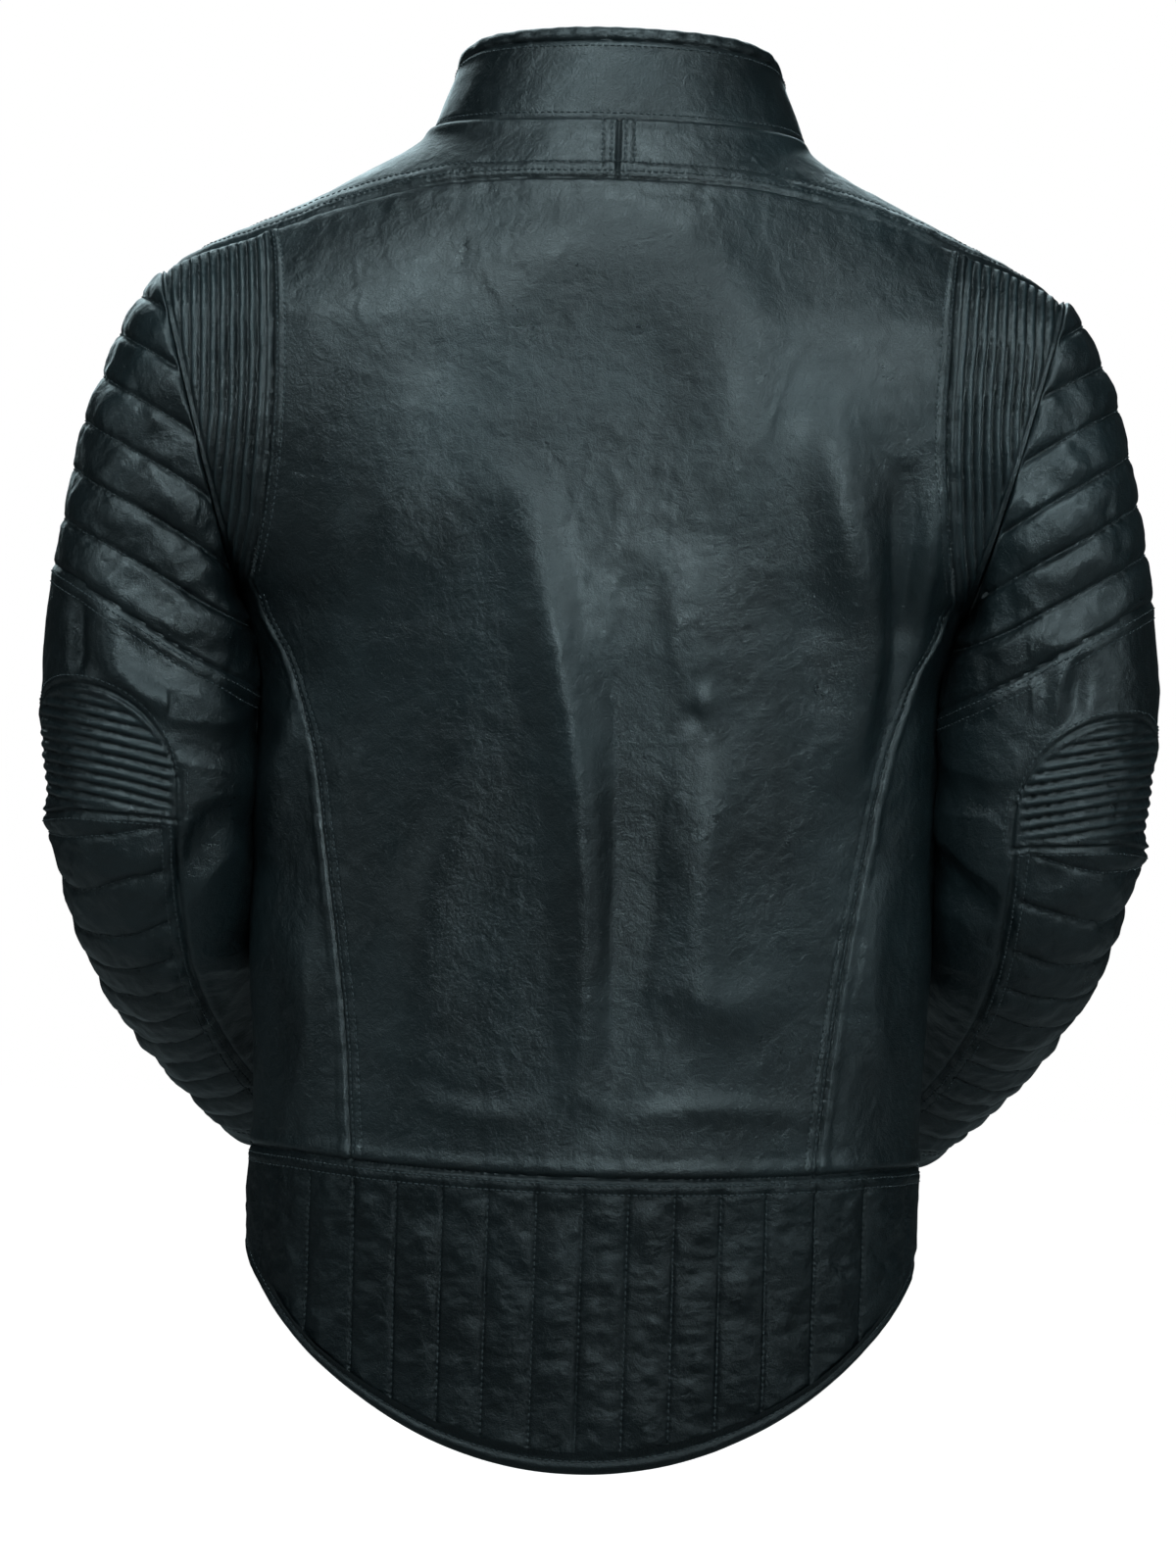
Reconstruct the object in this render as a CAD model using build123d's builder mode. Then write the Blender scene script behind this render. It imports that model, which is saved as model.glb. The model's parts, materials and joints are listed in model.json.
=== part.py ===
"""Leather riding jacket, cafe-racer cut, standing open inside as it does when worn.

Millimetres. +Z is up, the wearer faces -Y, and the wearer's left is +X.
The origin is at the height of the back collar seam, on the neck's centre line.
"""

import math
import os

from build123d import *

os.makedirs("parts", exist_ok=True)

# ---------------------------------------------------------------- driving dimensions
SHELL = 2.4  # outer leather with its interlining
LINING_OUT = 2.8  # inset of the lining's outer face
LINING_IN = 3.8  # inset of the lining's inner face
PAD_OUT = 4.2  # inset of an armour pad's outer face
PAD_IN = 12.0  # inset of an armour pad's inner face
BIG = 400.0  # past every side of the jacket

WAIST_Z = -533.0  # waist seam
FRONT_HEM_Z = -578.0
ARMPIT = (184.0, -262.0)
SHOULDER = (234.0, -80.0)
TOP_Z = 40.0  # past the top of the torso
SIDE_X = 275.0  # past the widest part of the torso

THROAT_Y = -92.0  # where the front zip ends
THROAT_Z = -36.0
FRONT_SLOPE = 0.0686  # the front edge leans out by this much for each millimetre down

# Torso sections: height, half width, back depth, front depth (None: on the front edge line).
TORSO = [
    (-700.0, 176.0, 113.0, None),
    (-533.0, 174.0, 106.0, None),
    (-400.0, 175.0, 109.0, None),
    (-300.0, 175.5, 118.0, None),
    (-262.0, 180.0, 121.0, None),
    (-210.0, 228.0, 121.0, None),
    (-160.0, 258.0, 118.0, None),
    (-110.0, 264.0, 110.0, None),
    (-80.0, 232.0, 102.0, None),
    (-60.0, 198.0, 96.0, None),
    (-35.0, 147.0, 86.0, -92.0),
    (-8.0, 99.0, 67.0, -60.0),
    (8.0, 88.0, 55.0, -42.0),
]
# Sleeve sections: centre, direction of the sleeve, half width across, half depth fore and aft.
SLEEVE = [
    ((209.5, 5.0, -171.1), (0.964, 0.0, -0.265), 94.0, 66.0),
    ((223.0, 6.0, -205.0), (0.846, 0.0, -0.533), 77.0, 66.0),
    ((232.0, 8.0, -252.0), (0.508, 0.0, -0.862), 59.0, 63.0),
    ((235.0, 9.0, -301.0), (0.10, -0.05, -0.994), 54.0, 60.0),
    ((233.0, 4.0, -352.0), (-0.06, -0.30, -0.95), 52.0, 56.0),
    ((226.0, -30.0, -403.0), (-0.22, -0.66, -0.72), 48.0, 53.0),
    ((206.0, -98.0, -453.0), (-0.36, -0.75, -0.55), 46.0, 48.0),
    ((165.0, -182.0, -508.0), (-0.40, -0.75, -0.53), 43.0, 44.0),
]
# Stretch of the sleeve that the elbow armour lines, as sleeve sections.
ELBOW_PAD = [
    ((230.5, -11.0, -380.0), (-0.12, -0.46, -0.88), 50.0, 54.0),
    ((226.0, -30.0, -403.0), (-0.22, -0.66, -0.72), 48.0, 53.0),
    ((219.0, -53.8, -420.5), (-0.27, -0.69, -0.66), 47.3, 51.2),
]
ELBOW_START = ((235.0, 9.0, -306.0), (0.10, -0.05, -0.994))  # plane where the elbow gusset starts
ELBOW_END = ((231.0, -8.0, -377.0), (-0.12, -0.46, -0.88))  # plane where it ends
CUFF_START = ((174.6, -164.0, -496.3), (-0.40, -0.75, -0.53))  # plane of the cuff band's seam
CAP_SEAM = [(320.0, -217.0), (150.0, -309.0)]  # lower seam of the padded sleeve cap, as (x, z)
SEAM_GAP = 0.4  # left open between a sleeve panel and its moving neighbour

# Collar sections: height, half width, centre depth, half depth.
COLLAR = [
    (-45.0, 111.0, -7.0, 85.0),
    (0.0, 96.0, -15.0, 76.0),
    (60.0, 74.0, -28.0, 63.0),
]
NECK_SEAM = [(92, 6), (61, 0), (20, -1), (-15, -5), (-60, -20), (-92, -36), (-125, -55)]
COLLAR_TOP = [(92, 53), (40, 50), (0, 46), (-40, 33), (-75, 17), (-125, 1)]
COLLAR_ROLL = 8.0  # depth of the soft roll along the collar's top
COLLAR_GAP = 4.0  # half of the gap between the collar's ends

# Seams on the wearer's left as (x, z), seen from behind or from the front.
YOKE_SEAM = [(0, -33), (60, -34), (115, -41), (147, -50), (177, -61), (210, -71), (SIDE_X, -95)]
FRONT_YOKE_SEAM = [(30, 0), (70, -14), (110, -36), (150, -58), (190, -82), (215, -98), (SIDE_X, -135)]
GUSSET_SEAM = [(177, -30), (173, -100), (171, -150), (174, -200), (180, -240)]
GUSSET_FOOT = [(180, -240), (184, -262), (SIDE_X, -262)]
PRINCESS_SEAM = [(180, -240), (160, -282), (148, -320), (139, -370), (131, -420), (124, -475), (118, WAIST_Z)]
TAIL_HEM = [(0, -686), (50, -680), (100, -655), (125, -640), (145, -622), (160, -604), (176, FRONT_HEM_Z)]

# Front zip, on a plane along the front edges.
ZIP_GAP = 9.0  # half of the gap between the two front edges
ZIP_FOOT = -540.0  # along the zip, from the throat
TAPE = (3.2, 17.0, -4.2, -3.4)  # inner edge, outer edge, back face, front face
TOOTH_PITCH = 4.4
TOOTH_WIDTH = 1.7
TOOTH_TIP = -1.2  # teeth reach this far past the centre line
BEAD = (2.2, 4.4)  # inner and outer edge of the bead that the teeth stand on
TEETH_DEPTH = (-3.4, 0.2)
SLIDER_TOP = -14.0  # slider's place at rest, along the zip

# Hand pocket zips, on a plane that touches the front panel.
POCKET_TOP = (100.0, -408.0)
POCKET_FOOT = (108.0, -525.0)
WELT = (132.0, 18.0, 1.6)  # length, width and thickness
WELT_SLOT = (118.0, 8.6)
WELT_LIFT = 0.7
COIL_LENGTH = 112.0

SNAP = (-24.0, -10.0)
TAB_HINGE_X = 38.0


# ---------------------------------------------------------------- forms
def torso_rows():
    """The torso sections with every front depth filled in."""
    rows = []
    for z, half_width, back, front in TORSO:
        if front is None:
            front = THROAT_Y + (z - THROAT_Z) * FRONT_SLOPE
        rows.append((z, half_width, back, front))
    return rows


def torso_surface(x, z, side):
    """A point of the torso's outer face; side is 1 for the back and -1 for the front."""
    rows = torso_rows()
    for low, high in zip(rows, rows[1:]):
        if low[0] <= z <= high[0]:
            share = (z - low[0]) / (high[0] - low[0])
            half_width, back, front = (p + (q - p) * share for p, q in zip(low[1:], high[1:]))
    middle = (back + front) / 2
    half_depth = (back - front) / 2
    return Vector(x, middle + side * half_depth * math.sqrt(1 - (x / half_width) ** 2), z)


def torso_form(inset):
    """The whole torso as one solid, inset from its outer face by that much."""
    with BuildPart() as form:
        for z, half_width, back, front in torso_rows():
            with BuildSketch(Plane.XY.offset(z)):
                with Locations((0, (back + front) / 2)):
                    Ellipse(half_width - inset, (back - front) / 2 - inset)
        loft(ruled=True)
    return form.part


def sleeve_plane(centre, direction):
    """The plane of a sleeve section: local X points out sideways and Z down the sleeve."""
    along = Vector(*direction).normalized()
    out = Vector(0, 0, 1) if along.X > 0.6 else Vector(1, 0, 0)
    out = (out - along * out.dot(along)).normalized()
    return Plane(origin=centre, x_dir=out, z_dir=along)


def sleeve_form(inset, sections=SLEEVE):
    """The left sleeve, or a stretch of it, as one solid inset by that much."""
    with BuildPart() as form:
        for centre, direction, across, depth in sections:
            with BuildSketch(sleeve_plane(centre, direction)):
                Ellipse(across - inset, depth - inset)
        loft(ruled=True)
    return form.part


def collar_form(inset):
    """The collar's cone as one solid, inset by that much."""
    with BuildPart() as form:
        for z, half_width, centre_y, half_depth in COLLAR:
            with BuildSketch(Plane.XY.offset(z)):
                with Locations((0, centre_y)):
                    Ellipse(half_width - inset, half_depth - inset)
        loft(ruled=True)
    return form.part


def shell_between(form, outer, inner):
    """What lies between two insets of one form."""
    with BuildPart() as shell:
        add(form(outer))
        add(form(inner), mode=Mode.SUBTRACT)
    return shell.part


# ---------------------------------------------------------------- cutting and writing
def side_region(points, near, far):
    """An outline of (x, z) points, extruded from depth near to depth far."""
    with BuildPart() as space:
        with BuildSketch(Plane.XZ.offset(-near)):
            with BuildLine():
                Polyline(*points, close=True)
            make_face()
        extrude(amount=near - far)
    return space.part


def above(profile, lift=0.0):
    """Everything above a line of (depth, height) points, right across the jacket."""
    points = [(y, z + lift) for y, z in profile]
    with BuildPart() as space:
        with BuildSketch(Plane.YZ):
            with BuildLine():
                Polyline(*points, (points[-1][0], BIG), (points[0][0], BIG), close=True)
            make_face()
        extrude(amount=BIG, both=True)
    return space.part


def beyond(plane):
    """The half of space that the plane's normal points into."""
    with BuildPart() as space:
        with BuildSketch(plane):
            Rectangle(4 * BIG, 4 * BIG)
        extrude(amount=2 * BIG)
    return space.part


def trim(piece, *spaces, keep=()):
    """A piece with the given spaces taken away, and only what lies in the kept ones."""
    with BuildPart() as cut:
        add(piece)
        for space in keep:
            add(space, mode=Mode.INTERSECT)
        for space in spaces:
            add(space, mode=Mode.SUBTRACT)
    return cut.part


def mirrored(piece):
    """The same piece on the wearer's right."""
    with BuildPart() as other:
        mirror(piece, about=Plane.YZ)
    return other.part


def write(piece, name):
    """Labels a finished piece and writes it."""
    piece.label = name
    export_step(piece, f"parts/{name}.step")


def write_pair(piece, name):
    """Writes a piece of the wearer's left and its mirror image."""
    write(piece, f"{name}_left")
    write(mirrored(piece), f"{name}_right")


# ---------------------------------------------------------------- torso shell
lean = (SHOULDER[0] - ARMPIT[0]) / (SHOULDER[1] - ARMPIT[1])
arm_top = (ARMPIT[0] + lean * (TOP_Z - ARMPIT[1]), TOP_Z)
armhole = side_region([ARMPIT, arm_top, (BIG, TOP_Z), (BIG, ARMPIT[1])], BIG, -BIG)
armholes = (armhole, mirrored(armhole))
tail_right = [(-x, z) for x, z in reversed(TAIL_HEM[1:])]
below_hem = [(BIG, FRONT_HEM_Z), (BIG, -2 * BIG), (-BIG, -2 * BIG), (-BIG, FRONT_HEM_Z)]
hem_points = [*tail_right, *TAIL_HEM, *below_hem]
hem_back = side_region(hem_points, BIG, 0)
front_hem_points = [(-BIG, FRONT_HEM_Z), (BIG, FRONT_HEM_Z), (BIG, -2 * BIG), (-BIG, -2 * BIG)]
hem_front = side_region(front_hem_points, 0, -BIG)
neck = above(NECK_SEAM)
leather = trim(shell_between(torso_form, 0, SHELL), neck, hem_back, hem_front, *armholes)

# ---------------------------------------------------------------- yoke, back and sides
back_yoke = side_region([*YOKE_SEAM, (SIDE_X, TOP_Z), (0, TOP_Z)], BIG, 0)
front_yoke = side_region([*FRONT_YOKE_SEAM, (SIDE_X, TOP_Z), (30, TOP_Z)], 0, -BIG)
with BuildPart() as yoke_space:
    add(back_yoke)
    add(front_yoke)
yoke = trim(leather, keep=[yoke_space.part])
write_pair(yoke, "yoke")

lower = trim(leather, yoke_space.part, mirrored(yoke_space.part))
back_points = [*GUSSET_SEAM, *PRINCESS_SEAM[1:], (0, WAIST_Z), (0, -20)]
back_left = side_region(back_points, BIG, 0)
back_half = trim(lower, keep=[back_left])
with BuildPart() as back_panel:
    add(back_half)
    mirror(back_half, about=Plane.YZ)
write(back_panel.part, "back_panel")

gusset_points = [*GUSSET_SEAM, *GUSSET_FOOT[1:], (SIDE_X, -30)]
write_pair(trim(lower, keep=[side_region(gusset_points, BIG, 0)]), "shoulder_gusset")

side_points = [*PRINCESS_SEAM[::-1], *GUSSET_FOOT[1:], (SIDE_X, WAIST_Z)]
write_pair(trim(lower, keep=[side_region(side_points, BIG, 0)]), "side_panel")

tail_points = [(-SIDE_X, WAIST_Z), (SIDE_X, WAIST_Z), (SIDE_X, -2 * BIG), (-SIDE_X, -2 * BIG)]
write(trim(lower, keep=[side_region(tail_points, BIG, 0)]), "tail_panel")

# ---------------------------------------------------------------- fronts and hand pockets
pocket_top = torso_surface(*POCKET_TOP, -1)
pocket_foot = torso_surface(*POCKET_FOOT, -1)
pocket_middle = (pocket_top + pocket_foot) / 2
pocket_up = (pocket_top - pocket_foot).normalized()
NEAR = 8.0  # sideways reach of the two points that give the pocket plane its slant
near_point = torso_surface(pocket_middle.X - NEAR, pocket_middle.Z, -1)
far_point = torso_surface(pocket_middle.X + NEAR, pocket_middle.Z, -1)
pocket_normal = (far_point - near_point).cross(pocket_up).normalized()
if pocket_normal.Y > 0:
    pocket_normal = -pocket_normal
pocket_plane = Plane(origin=pocket_middle, x_dir=pocket_up.cross(pocket_normal), z_dir=pocket_normal)

with BuildPart() as pocket_mouth:
    with BuildSketch(pocket_plane.offset(-NEAR)):
        Rectangle(3.0, COIL_LENGTH - 8)
    extrude(amount=2 * NEAR)
front_points = [(ZIP_GAP, TOP_Z), (ZIP_GAP, -2 * BIG), (SIDE_X, -2 * BIG), (SIDE_X, TOP_Z)]
front_panel = trim(lower, pocket_mouth.part, keep=[side_region(front_points, 0, -BIG)])
write_pair(front_panel, "front_panel")

with BuildPart() as pocket_welt:
    with BuildSketch(pocket_plane.offset(WELT_LIFT)):
        RectangleRounded(WELT[1], WELT[0], 3)
        RectangleRounded(WELT_SLOT[1], WELT_SLOT[0], 3, mode=Mode.SUBTRACT)
    extrude(amount=WELT[2])
write_pair(pocket_welt.part, "pocket_welt")

COIL_TAPE = 7.6  # width of the tape
COIL_WIDTH = 3.4
COIL_TOP = 0.8  # height of the coil above its tape
with BuildPart() as pocket_coil:
    with BuildSketch(pocket_plane.offset(WELT_LIFT)):
        Rectangle(COIL_TAPE, COIL_LENGTH)
    extrude(amount=0.5)
    with BuildSketch(pocket_plane.offset(WELT_LIFT + 0.5)):
        Rectangle(COIL_WIDTH, COIL_LENGTH)
    extrude(amount=COIL_TOP)
write_pair(pocket_coil.part, "pocket_coil")

EYE_FIT = 0.1  # running clearance of a pull's eye on its bar
POCKET_SLIDER = (6.8, 11.0, 1.6)  # width, length and thickness
POCKET_BAR = 0.6  # radius of the bar that the pull hangs on
POCKET_EYE = 1.4  # outer radius of the pull's eye
POCKET_PULL = (22.0, 6.0, 1.0)  # length, width and thickness
slider_lift = WELT_LIFT + 0.5 + COIL_TOP + 0.3
slider_y = COIL_LENGTH / 2 - 8
pocket_bar_lift = slider_lift + POCKET_SLIDER[2] + POCKET_EYE + 0.3
pocket_bar = pocket_plane.offset(pocket_bar_lift)
pocket_bar_plane = Plane(
    origin=pocket_bar.from_local_coords((0, slider_y, 0)),
    x_dir=pocket_plane.z_dir,
    z_dir=pocket_plane.x_dir,
)
with BuildPart() as pocket_slider:
    with BuildSketch(pocket_plane.offset(slider_lift)):
        with Locations((0, slider_y)):
            RectangleRounded(POCKET_SLIDER[0], POCKET_SLIDER[1], 2)
    extrude(amount=POCKET_SLIDER[2])
    with BuildSketch(pocket_plane.offset(slider_lift + POCKET_SLIDER[2])):
        with Locations((-2.3, slider_y), (2.3, slider_y)):
            Rectangle(0.9, 2.0)
    extrude(amount=POCKET_EYE + 0.3 + POCKET_BAR)
    with BuildSketch(pocket_bar_plane):
        Circle(POCKET_BAR)
    extrude(amount=2.3, both=True)
write_pair(pocket_slider.part, "pocket_slider")

with BuildPart() as pocket_pull:
    with BuildSketch(pocket_plane.offset(pocket_bar_lift - POCKET_PULL[2] / 2)):
        with Locations((0, slider_y - 5.0)):
            Rectangle(2.8, 10.0)
        with Locations((0, slider_y - 15.0)):
            RectangleRounded(POCKET_PULL[1], 14.0, 2)
    extrude(amount=POCKET_PULL[2])
    with BuildSketch(pocket_bar_plane):
        Circle(POCKET_EYE)
    extrude(amount=1.4, both=True)
    with BuildSketch(pocket_bar_plane):
        Circle(POCKET_BAR + EYE_FIT)
    extrude(amount=3, both=True, mode=Mode.SUBTRACT)
write_pair(pocket_pull.part, "pocket_pull")

BAG = (74.0, 120.0, 20.0)  # width, height and corner radius of a pocket bag
with BuildPart() as pocket_bags:
    add(shell_between(torso_form, LINING_IN + 0.4, LINING_IN + 2.0))
    with BuildSketch(Plane.XZ):
        with Locations((104, -480), (-104, -480)):
            RectangleRounded(*BAG)
    extrude(amount=BIG, mode=Mode.INTERSECT)
write(pocket_bags.part, "pocket_bags")

# ---------------------------------------------------------------- lining, back protector, hanger loop
LINING_GAP = 26.0  # half of the gap in the lining behind the front zip
LINING_HEM_RISE = 8.0
LINING_FOOT_DROP = 8.0  # the lining ends this far below the neck seam
ARMHOLE_SHIFT = 0.01  # keeps the lining's cut off the leather's
zip_gap_points = [(-LINING_GAP, TOP_Z), (LINING_GAP, TOP_Z), (LINING_GAP, -2 * BIG), (-LINING_GAP, -2 * BIG)]
lining_hem = hem_back.moved(Location((0, 0, LINING_HEM_RISE)))
lining_hem_front = hem_front.moved(Location((0, 0, LINING_HEM_RISE)))
lining_armholes = [space.moved(Location((0, 0, ARMHOLE_SHIFT))) for space in armholes]
body_lining = trim(
    shell_between(torso_form, LINING_OUT, LINING_IN),
    above(NECK_SEAM, -LINING_FOOT_DROP),
    lining_hem,
    lining_hem_front,
    side_region(zip_gap_points, 0, -BIG),
    *lining_armholes,
)
write(body_lining, "body_lining")

pad_points = [(-70, -110), (70, -110), (92, -200), (70, -420), (-70, -420), (-92, -200)]
with BuildPart() as back_protector:
    add(shell_between(torso_form, PAD_OUT, PAD_IN))
    add(side_region(pad_points, BIG, 0), mode=Mode.INTERSECT)
write(back_protector.part, "back_protector")

loop_y = torso_surface(36, -16, 1).Y - LINING_IN - 1.4
LOOP_STAND = 4.0  # how far the loop stands off the lining
with BuildPart() as hanger_loop:
    with BuildSketch(Plane.XY.offset(-24)):
        with BuildLine():
            Polyline((-36, loop_y), (-28, loop_y), (-24, loop_y - LOOP_STAND), (24, loop_y - LOOP_STAND),
                     (28, loop_y), (36, loop_y))
        trace(line_width=1.2)
    extrude(amount=8)
write(hanger_loop.part, "hanger_loop")

# ---------------------------------------------------------------- collar
collar_slot = side_region(
    [(-COLLAR_GAP, 2 * TOP_Z), (COLLAR_GAP, 2 * TOP_Z), (COLLAR_GAP, -200), (-COLLAR_GAP, -200)], 0, -BIG
)
foot = above(NECK_SEAM, 0.2)
leaf_top = above(COLLAR_TOP, -COLLAR_ROLL - 0.2)
roll_foot = above(COLLAR_TOP, -COLLAR_ROLL)
write(trim(shell_between(collar_form, 0, 1.5), leaf_top, collar_slot, keep=[foot]), "collar_outer")
write(trim(shell_between(collar_form, 1.8, 3.2), leaf_top, collar_slot, keep=[foot]), "collar_lining")
roll_shell = shell_between(collar_form, -1.2, 4.4)
write(trim(roll_shell, above(COLLAR_TOP), collar_slot, keep=[roll_foot]), "collar_binding")

share = (SNAP[1] - COLLAR[0][0]) / (COLLAR[1][0] - COLLAR[0][0])
snap_width, snap_centre, snap_depth = (p + (q - p) * share for p, q in zip(COLLAR[0][1:], COLLAR[1][1:]))
snap_y = snap_centre - snap_depth * math.sqrt(1 - (SNAP[0] / snap_width) ** 2)
snap_normal = Vector(SNAP[0] / snap_width**2, (snap_y - snap_centre) / snap_depth**2, 0).normalized()
snap_across = snap_normal.cross(Vector(0, 0, 1))
snap_plane = Plane(origin=(SNAP[0], snap_y, SNAP[1]), x_dir=snap_across, z_dir=snap_normal)

TAB = (2.6, 0.7)  # how far the tab's outer and inner faces stand off the collar
SNAP_HOLE = 3.8  # radius of the hole through the tab
SNAP_CAP = (6.5, 1.6, 0.6)  # radius, thickness and bevel
SNAP_STUD = (3.0, 1.4)  # radius and height
with BuildPart() as collar_tab:
    add(shell_between(collar_form, -TAB[0], -TAB[1]))
    with BuildSketch(Plane.XZ):
        with Locations(((TAB_HINGE_X - 34) / 2, SNAP[1])):
            RectangleRounded(TAB_HINGE_X + 34, 20, 6)
    extrude(amount=BIG, mode=Mode.INTERSECT)
    with BuildSketch(snap_plane):
        Circle(SNAP_HOLE)
    extrude(amount=10, mode=Mode.SUBTRACT)
write(collar_tab.part, "collar_tab")

with BuildPart() as collar_snap_cap:
    with BuildSketch(snap_plane.offset(TAB[0] + 0.3)):
        Circle(SNAP_CAP[0])
    extrude(amount=SNAP_CAP[1])
    chamfer(collar_snap_cap.faces().sort_by(Axis.Y)[0].edges(), length=SNAP_CAP[2])
write(collar_snap_cap.part, "collar_snap_cap")

with BuildPart() as collar_snap_stud:
    with BuildSketch(snap_plane.offset(0.2)):
        Circle(SNAP_STUD[0])
    extrude(amount=SNAP_STUD[1])
write(collar_snap_stud.part, "collar_snap_stud")

# ---------------------------------------------------------------- front zip
zip_up = Vector(0, FRONT_SLOPE, 1).normalized()
zip_out = Vector(1, 0, 0).cross(zip_up).normalized()
zip_plane = Plane(origin=(0, THROAT_Y, THROAT_Z), x_dir=(1, 0, 0), z_dir=zip_out)

with BuildPart() as front_zip_tapes:
    with BuildSketch(zip_plane.offset(TAPE[2])):
        for side in (-1, 1):
            with Locations((side * (TAPE[0] + TAPE[1]) / 2, ZIP_FOOT / 2 - 4)):
                Rectangle(TAPE[1] - TAPE[0], -ZIP_FOOT - 8)
    extrude(amount=TAPE[3] - TAPE[2])
write(front_zip_tapes.part, "front_zip_tapes")


BEAD_START = ZIP_FOOT + 6
BEAD_END = -10.0
FIRST_TOOTH = ZIP_FOOT + 8
LAST_TOOTH = -14.0


def comb(side, shift):
    """Outline of one row of teeth: a bead with a tooth at every pitch."""
    points = [(side * BEAD[1], BEAD_START), (side * BEAD[0], BEAD_START)]
    y = FIRST_TOOTH + shift
    while y < LAST_TOOTH:
        for x, step in ((BEAD[0], 0), (TOOTH_TIP, 0), (TOOTH_TIP, TOOTH_WIDTH), (BEAD[0], TOOTH_WIDTH)):
            points.append((side * x, y + step))
        y += TOOTH_PITCH
    return points + [(side * BEAD[0], BEAD_END), (side * BEAD[1], BEAD_END)]


with BuildPart() as front_zip_teeth:
    with BuildSketch(zip_plane.offset(TEETH_DEPTH[0])):
        for side, shift in ((1, 0), (-1, TOOTH_PITCH / 2)):
            with BuildLine():
                Polyline(*comb(side, shift), close=True)
            make_face()
    extrude(amount=TEETH_DEPTH[1] - TEETH_DEPTH[0])
write(front_zip_teeth.part, "front_zip_teeth")

SLIDER = (13.0, 16.0, 1.8)  # width, length and thickness
BAR = 0.9  # radius of the bar that the pull hangs on
EYE = 2.0  # outer radius of the pull's eye
PULL_THICK = 1.4
slider_face = TEETH_DEPTH[1] + 0.4
bar_lift = slider_face + SLIDER[2] + EYE + 0.4
bar_plane = Plane(
    origin=zip_plane.offset(bar_lift).from_local_coords((0, SLIDER_TOP, 0)), x_dir=zip_out, z_dir=(1, 0, 0)
)
with BuildPart() as front_zip_slider:
    with BuildSketch(zip_plane.offset(slider_face)):
        with Locations((0, SLIDER_TOP)):
            RectangleRounded(SLIDER[0], SLIDER[1], 3)
    extrude(amount=SLIDER[2])
    with BuildSketch(zip_plane.offset(slider_face)):
        with Locations((-5.6, SLIDER_TOP), (5.6, SLIDER_TOP)):
            Rectangle(1.4, 9)
    extrude(amount=-2.2)
    with BuildSketch(zip_plane.offset(slider_face + SLIDER[2])):
        with Locations((-3.4, SLIDER_TOP), (3.4, SLIDER_TOP)):
            Rectangle(1.4, 2.6)
    extrude(amount=EYE + 0.4 + BAR)
    with BuildSketch(bar_plane):
        Circle(BAR)
    extrude(amount=3.4, both=True)
write(front_zip_slider.part, "front_zip_slider")

with BuildPart() as front_zip_pull:
    with BuildSketch(zip_plane.offset(bar_lift - PULL_THICK / 2)):
        with Locations((0, SLIDER_TOP - 7)):
            Rectangle(4.4, 14)
        with Locations((0, SLIDER_TOP - 24)):
            RectangleRounded(8, 24, 2.5)
        with Locations((0, SLIDER_TOP - 31)):
            Circle(1.8, mode=Mode.SUBTRACT)
    extrude(amount=PULL_THICK)
    with BuildSketch(bar_plane):
        Circle(EYE)
    extrude(amount=2.2, both=True)
    with BuildSketch(bar_plane):
        Circle(BAR + EYE_FIT)
    extrude(amount=5, both=True, mode=Mode.SUBTRACT)
write(front_zip_pull.part, "front_zip_pull")

with BuildPart() as storm_flap:
    with BuildSketch(zip_plane.offset(-6.6)):
        with Locations((0, ZIP_FOOT / 2)):
            Rectangle(40, -ZIP_FOOT - 8)
    extrude(amount=1.6)
write(storm_flap.part, "storm_flap")

# ---------------------------------------------------------------- sleeves
sleeve_leather = shell_between(sleeve_form, 0, SHELL)
above_cap_seam = side_region([*CAP_SEAM, (CAP_SEAM[1][0], TOP_Z), (CAP_SEAM[0][0], TOP_Z)], BIG, -BIG)
elbow_start = sleeve_plane(*ELBOW_START)
elbow_end = sleeve_plane(*ELBOW_END)
cuff_start = sleeve_plane(*CUFF_START)
past_start = beyond(elbow_start)
past_end = beyond(elbow_end)
past_end_gap = beyond(elbow_end.offset(SEAM_GAP))
past_cuff = beyond(cuff_start)

above_start = trim(sleeve_leather, past_start)
write_pair(trim(above_start, keep=[above_cap_seam]), "sleeve_cap")
write_pair(trim(above_start, above_cap_seam), "upper_sleeve")

# The elbow's ribbed gusset takes the outer and back part of the sleeve.
gusset_cut = Plane(origin=(218, 0, -340), x_dir=(0, 0, 1), z_dir=Vector(0.62, 0.78, 0))
outer_side = beyond(gusset_cut)
elbow_zone = trim(sleeve_leather, past_end, keep=[past_start])
write_pair(trim(elbow_zone, keep=[outer_side]), "elbow_gusset")
write_pair(trim(elbow_zone, outer_side), "elbow_inner")

# The forearm's padded half faces out and back.
forearm_middle = (206.0, -98.0, -453.0)
forearm_cut = Plane(origin=forearm_middle, x_dir=(-0.36, -0.75, -0.55), z_dir=(0.85, -0.09, -0.43))
padded_side = beyond(forearm_cut)
forearm = trim(sleeve_leather, past_cuff, keep=[past_end_gap])
write_pair(trim(forearm, keep=[padded_side]), "forearm_quilt")
write_pair(trim(forearm, padded_side), "forearm_under")
write_pair(trim(sleeve_leather, keep=[past_cuff]), "cuff_band")

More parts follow.
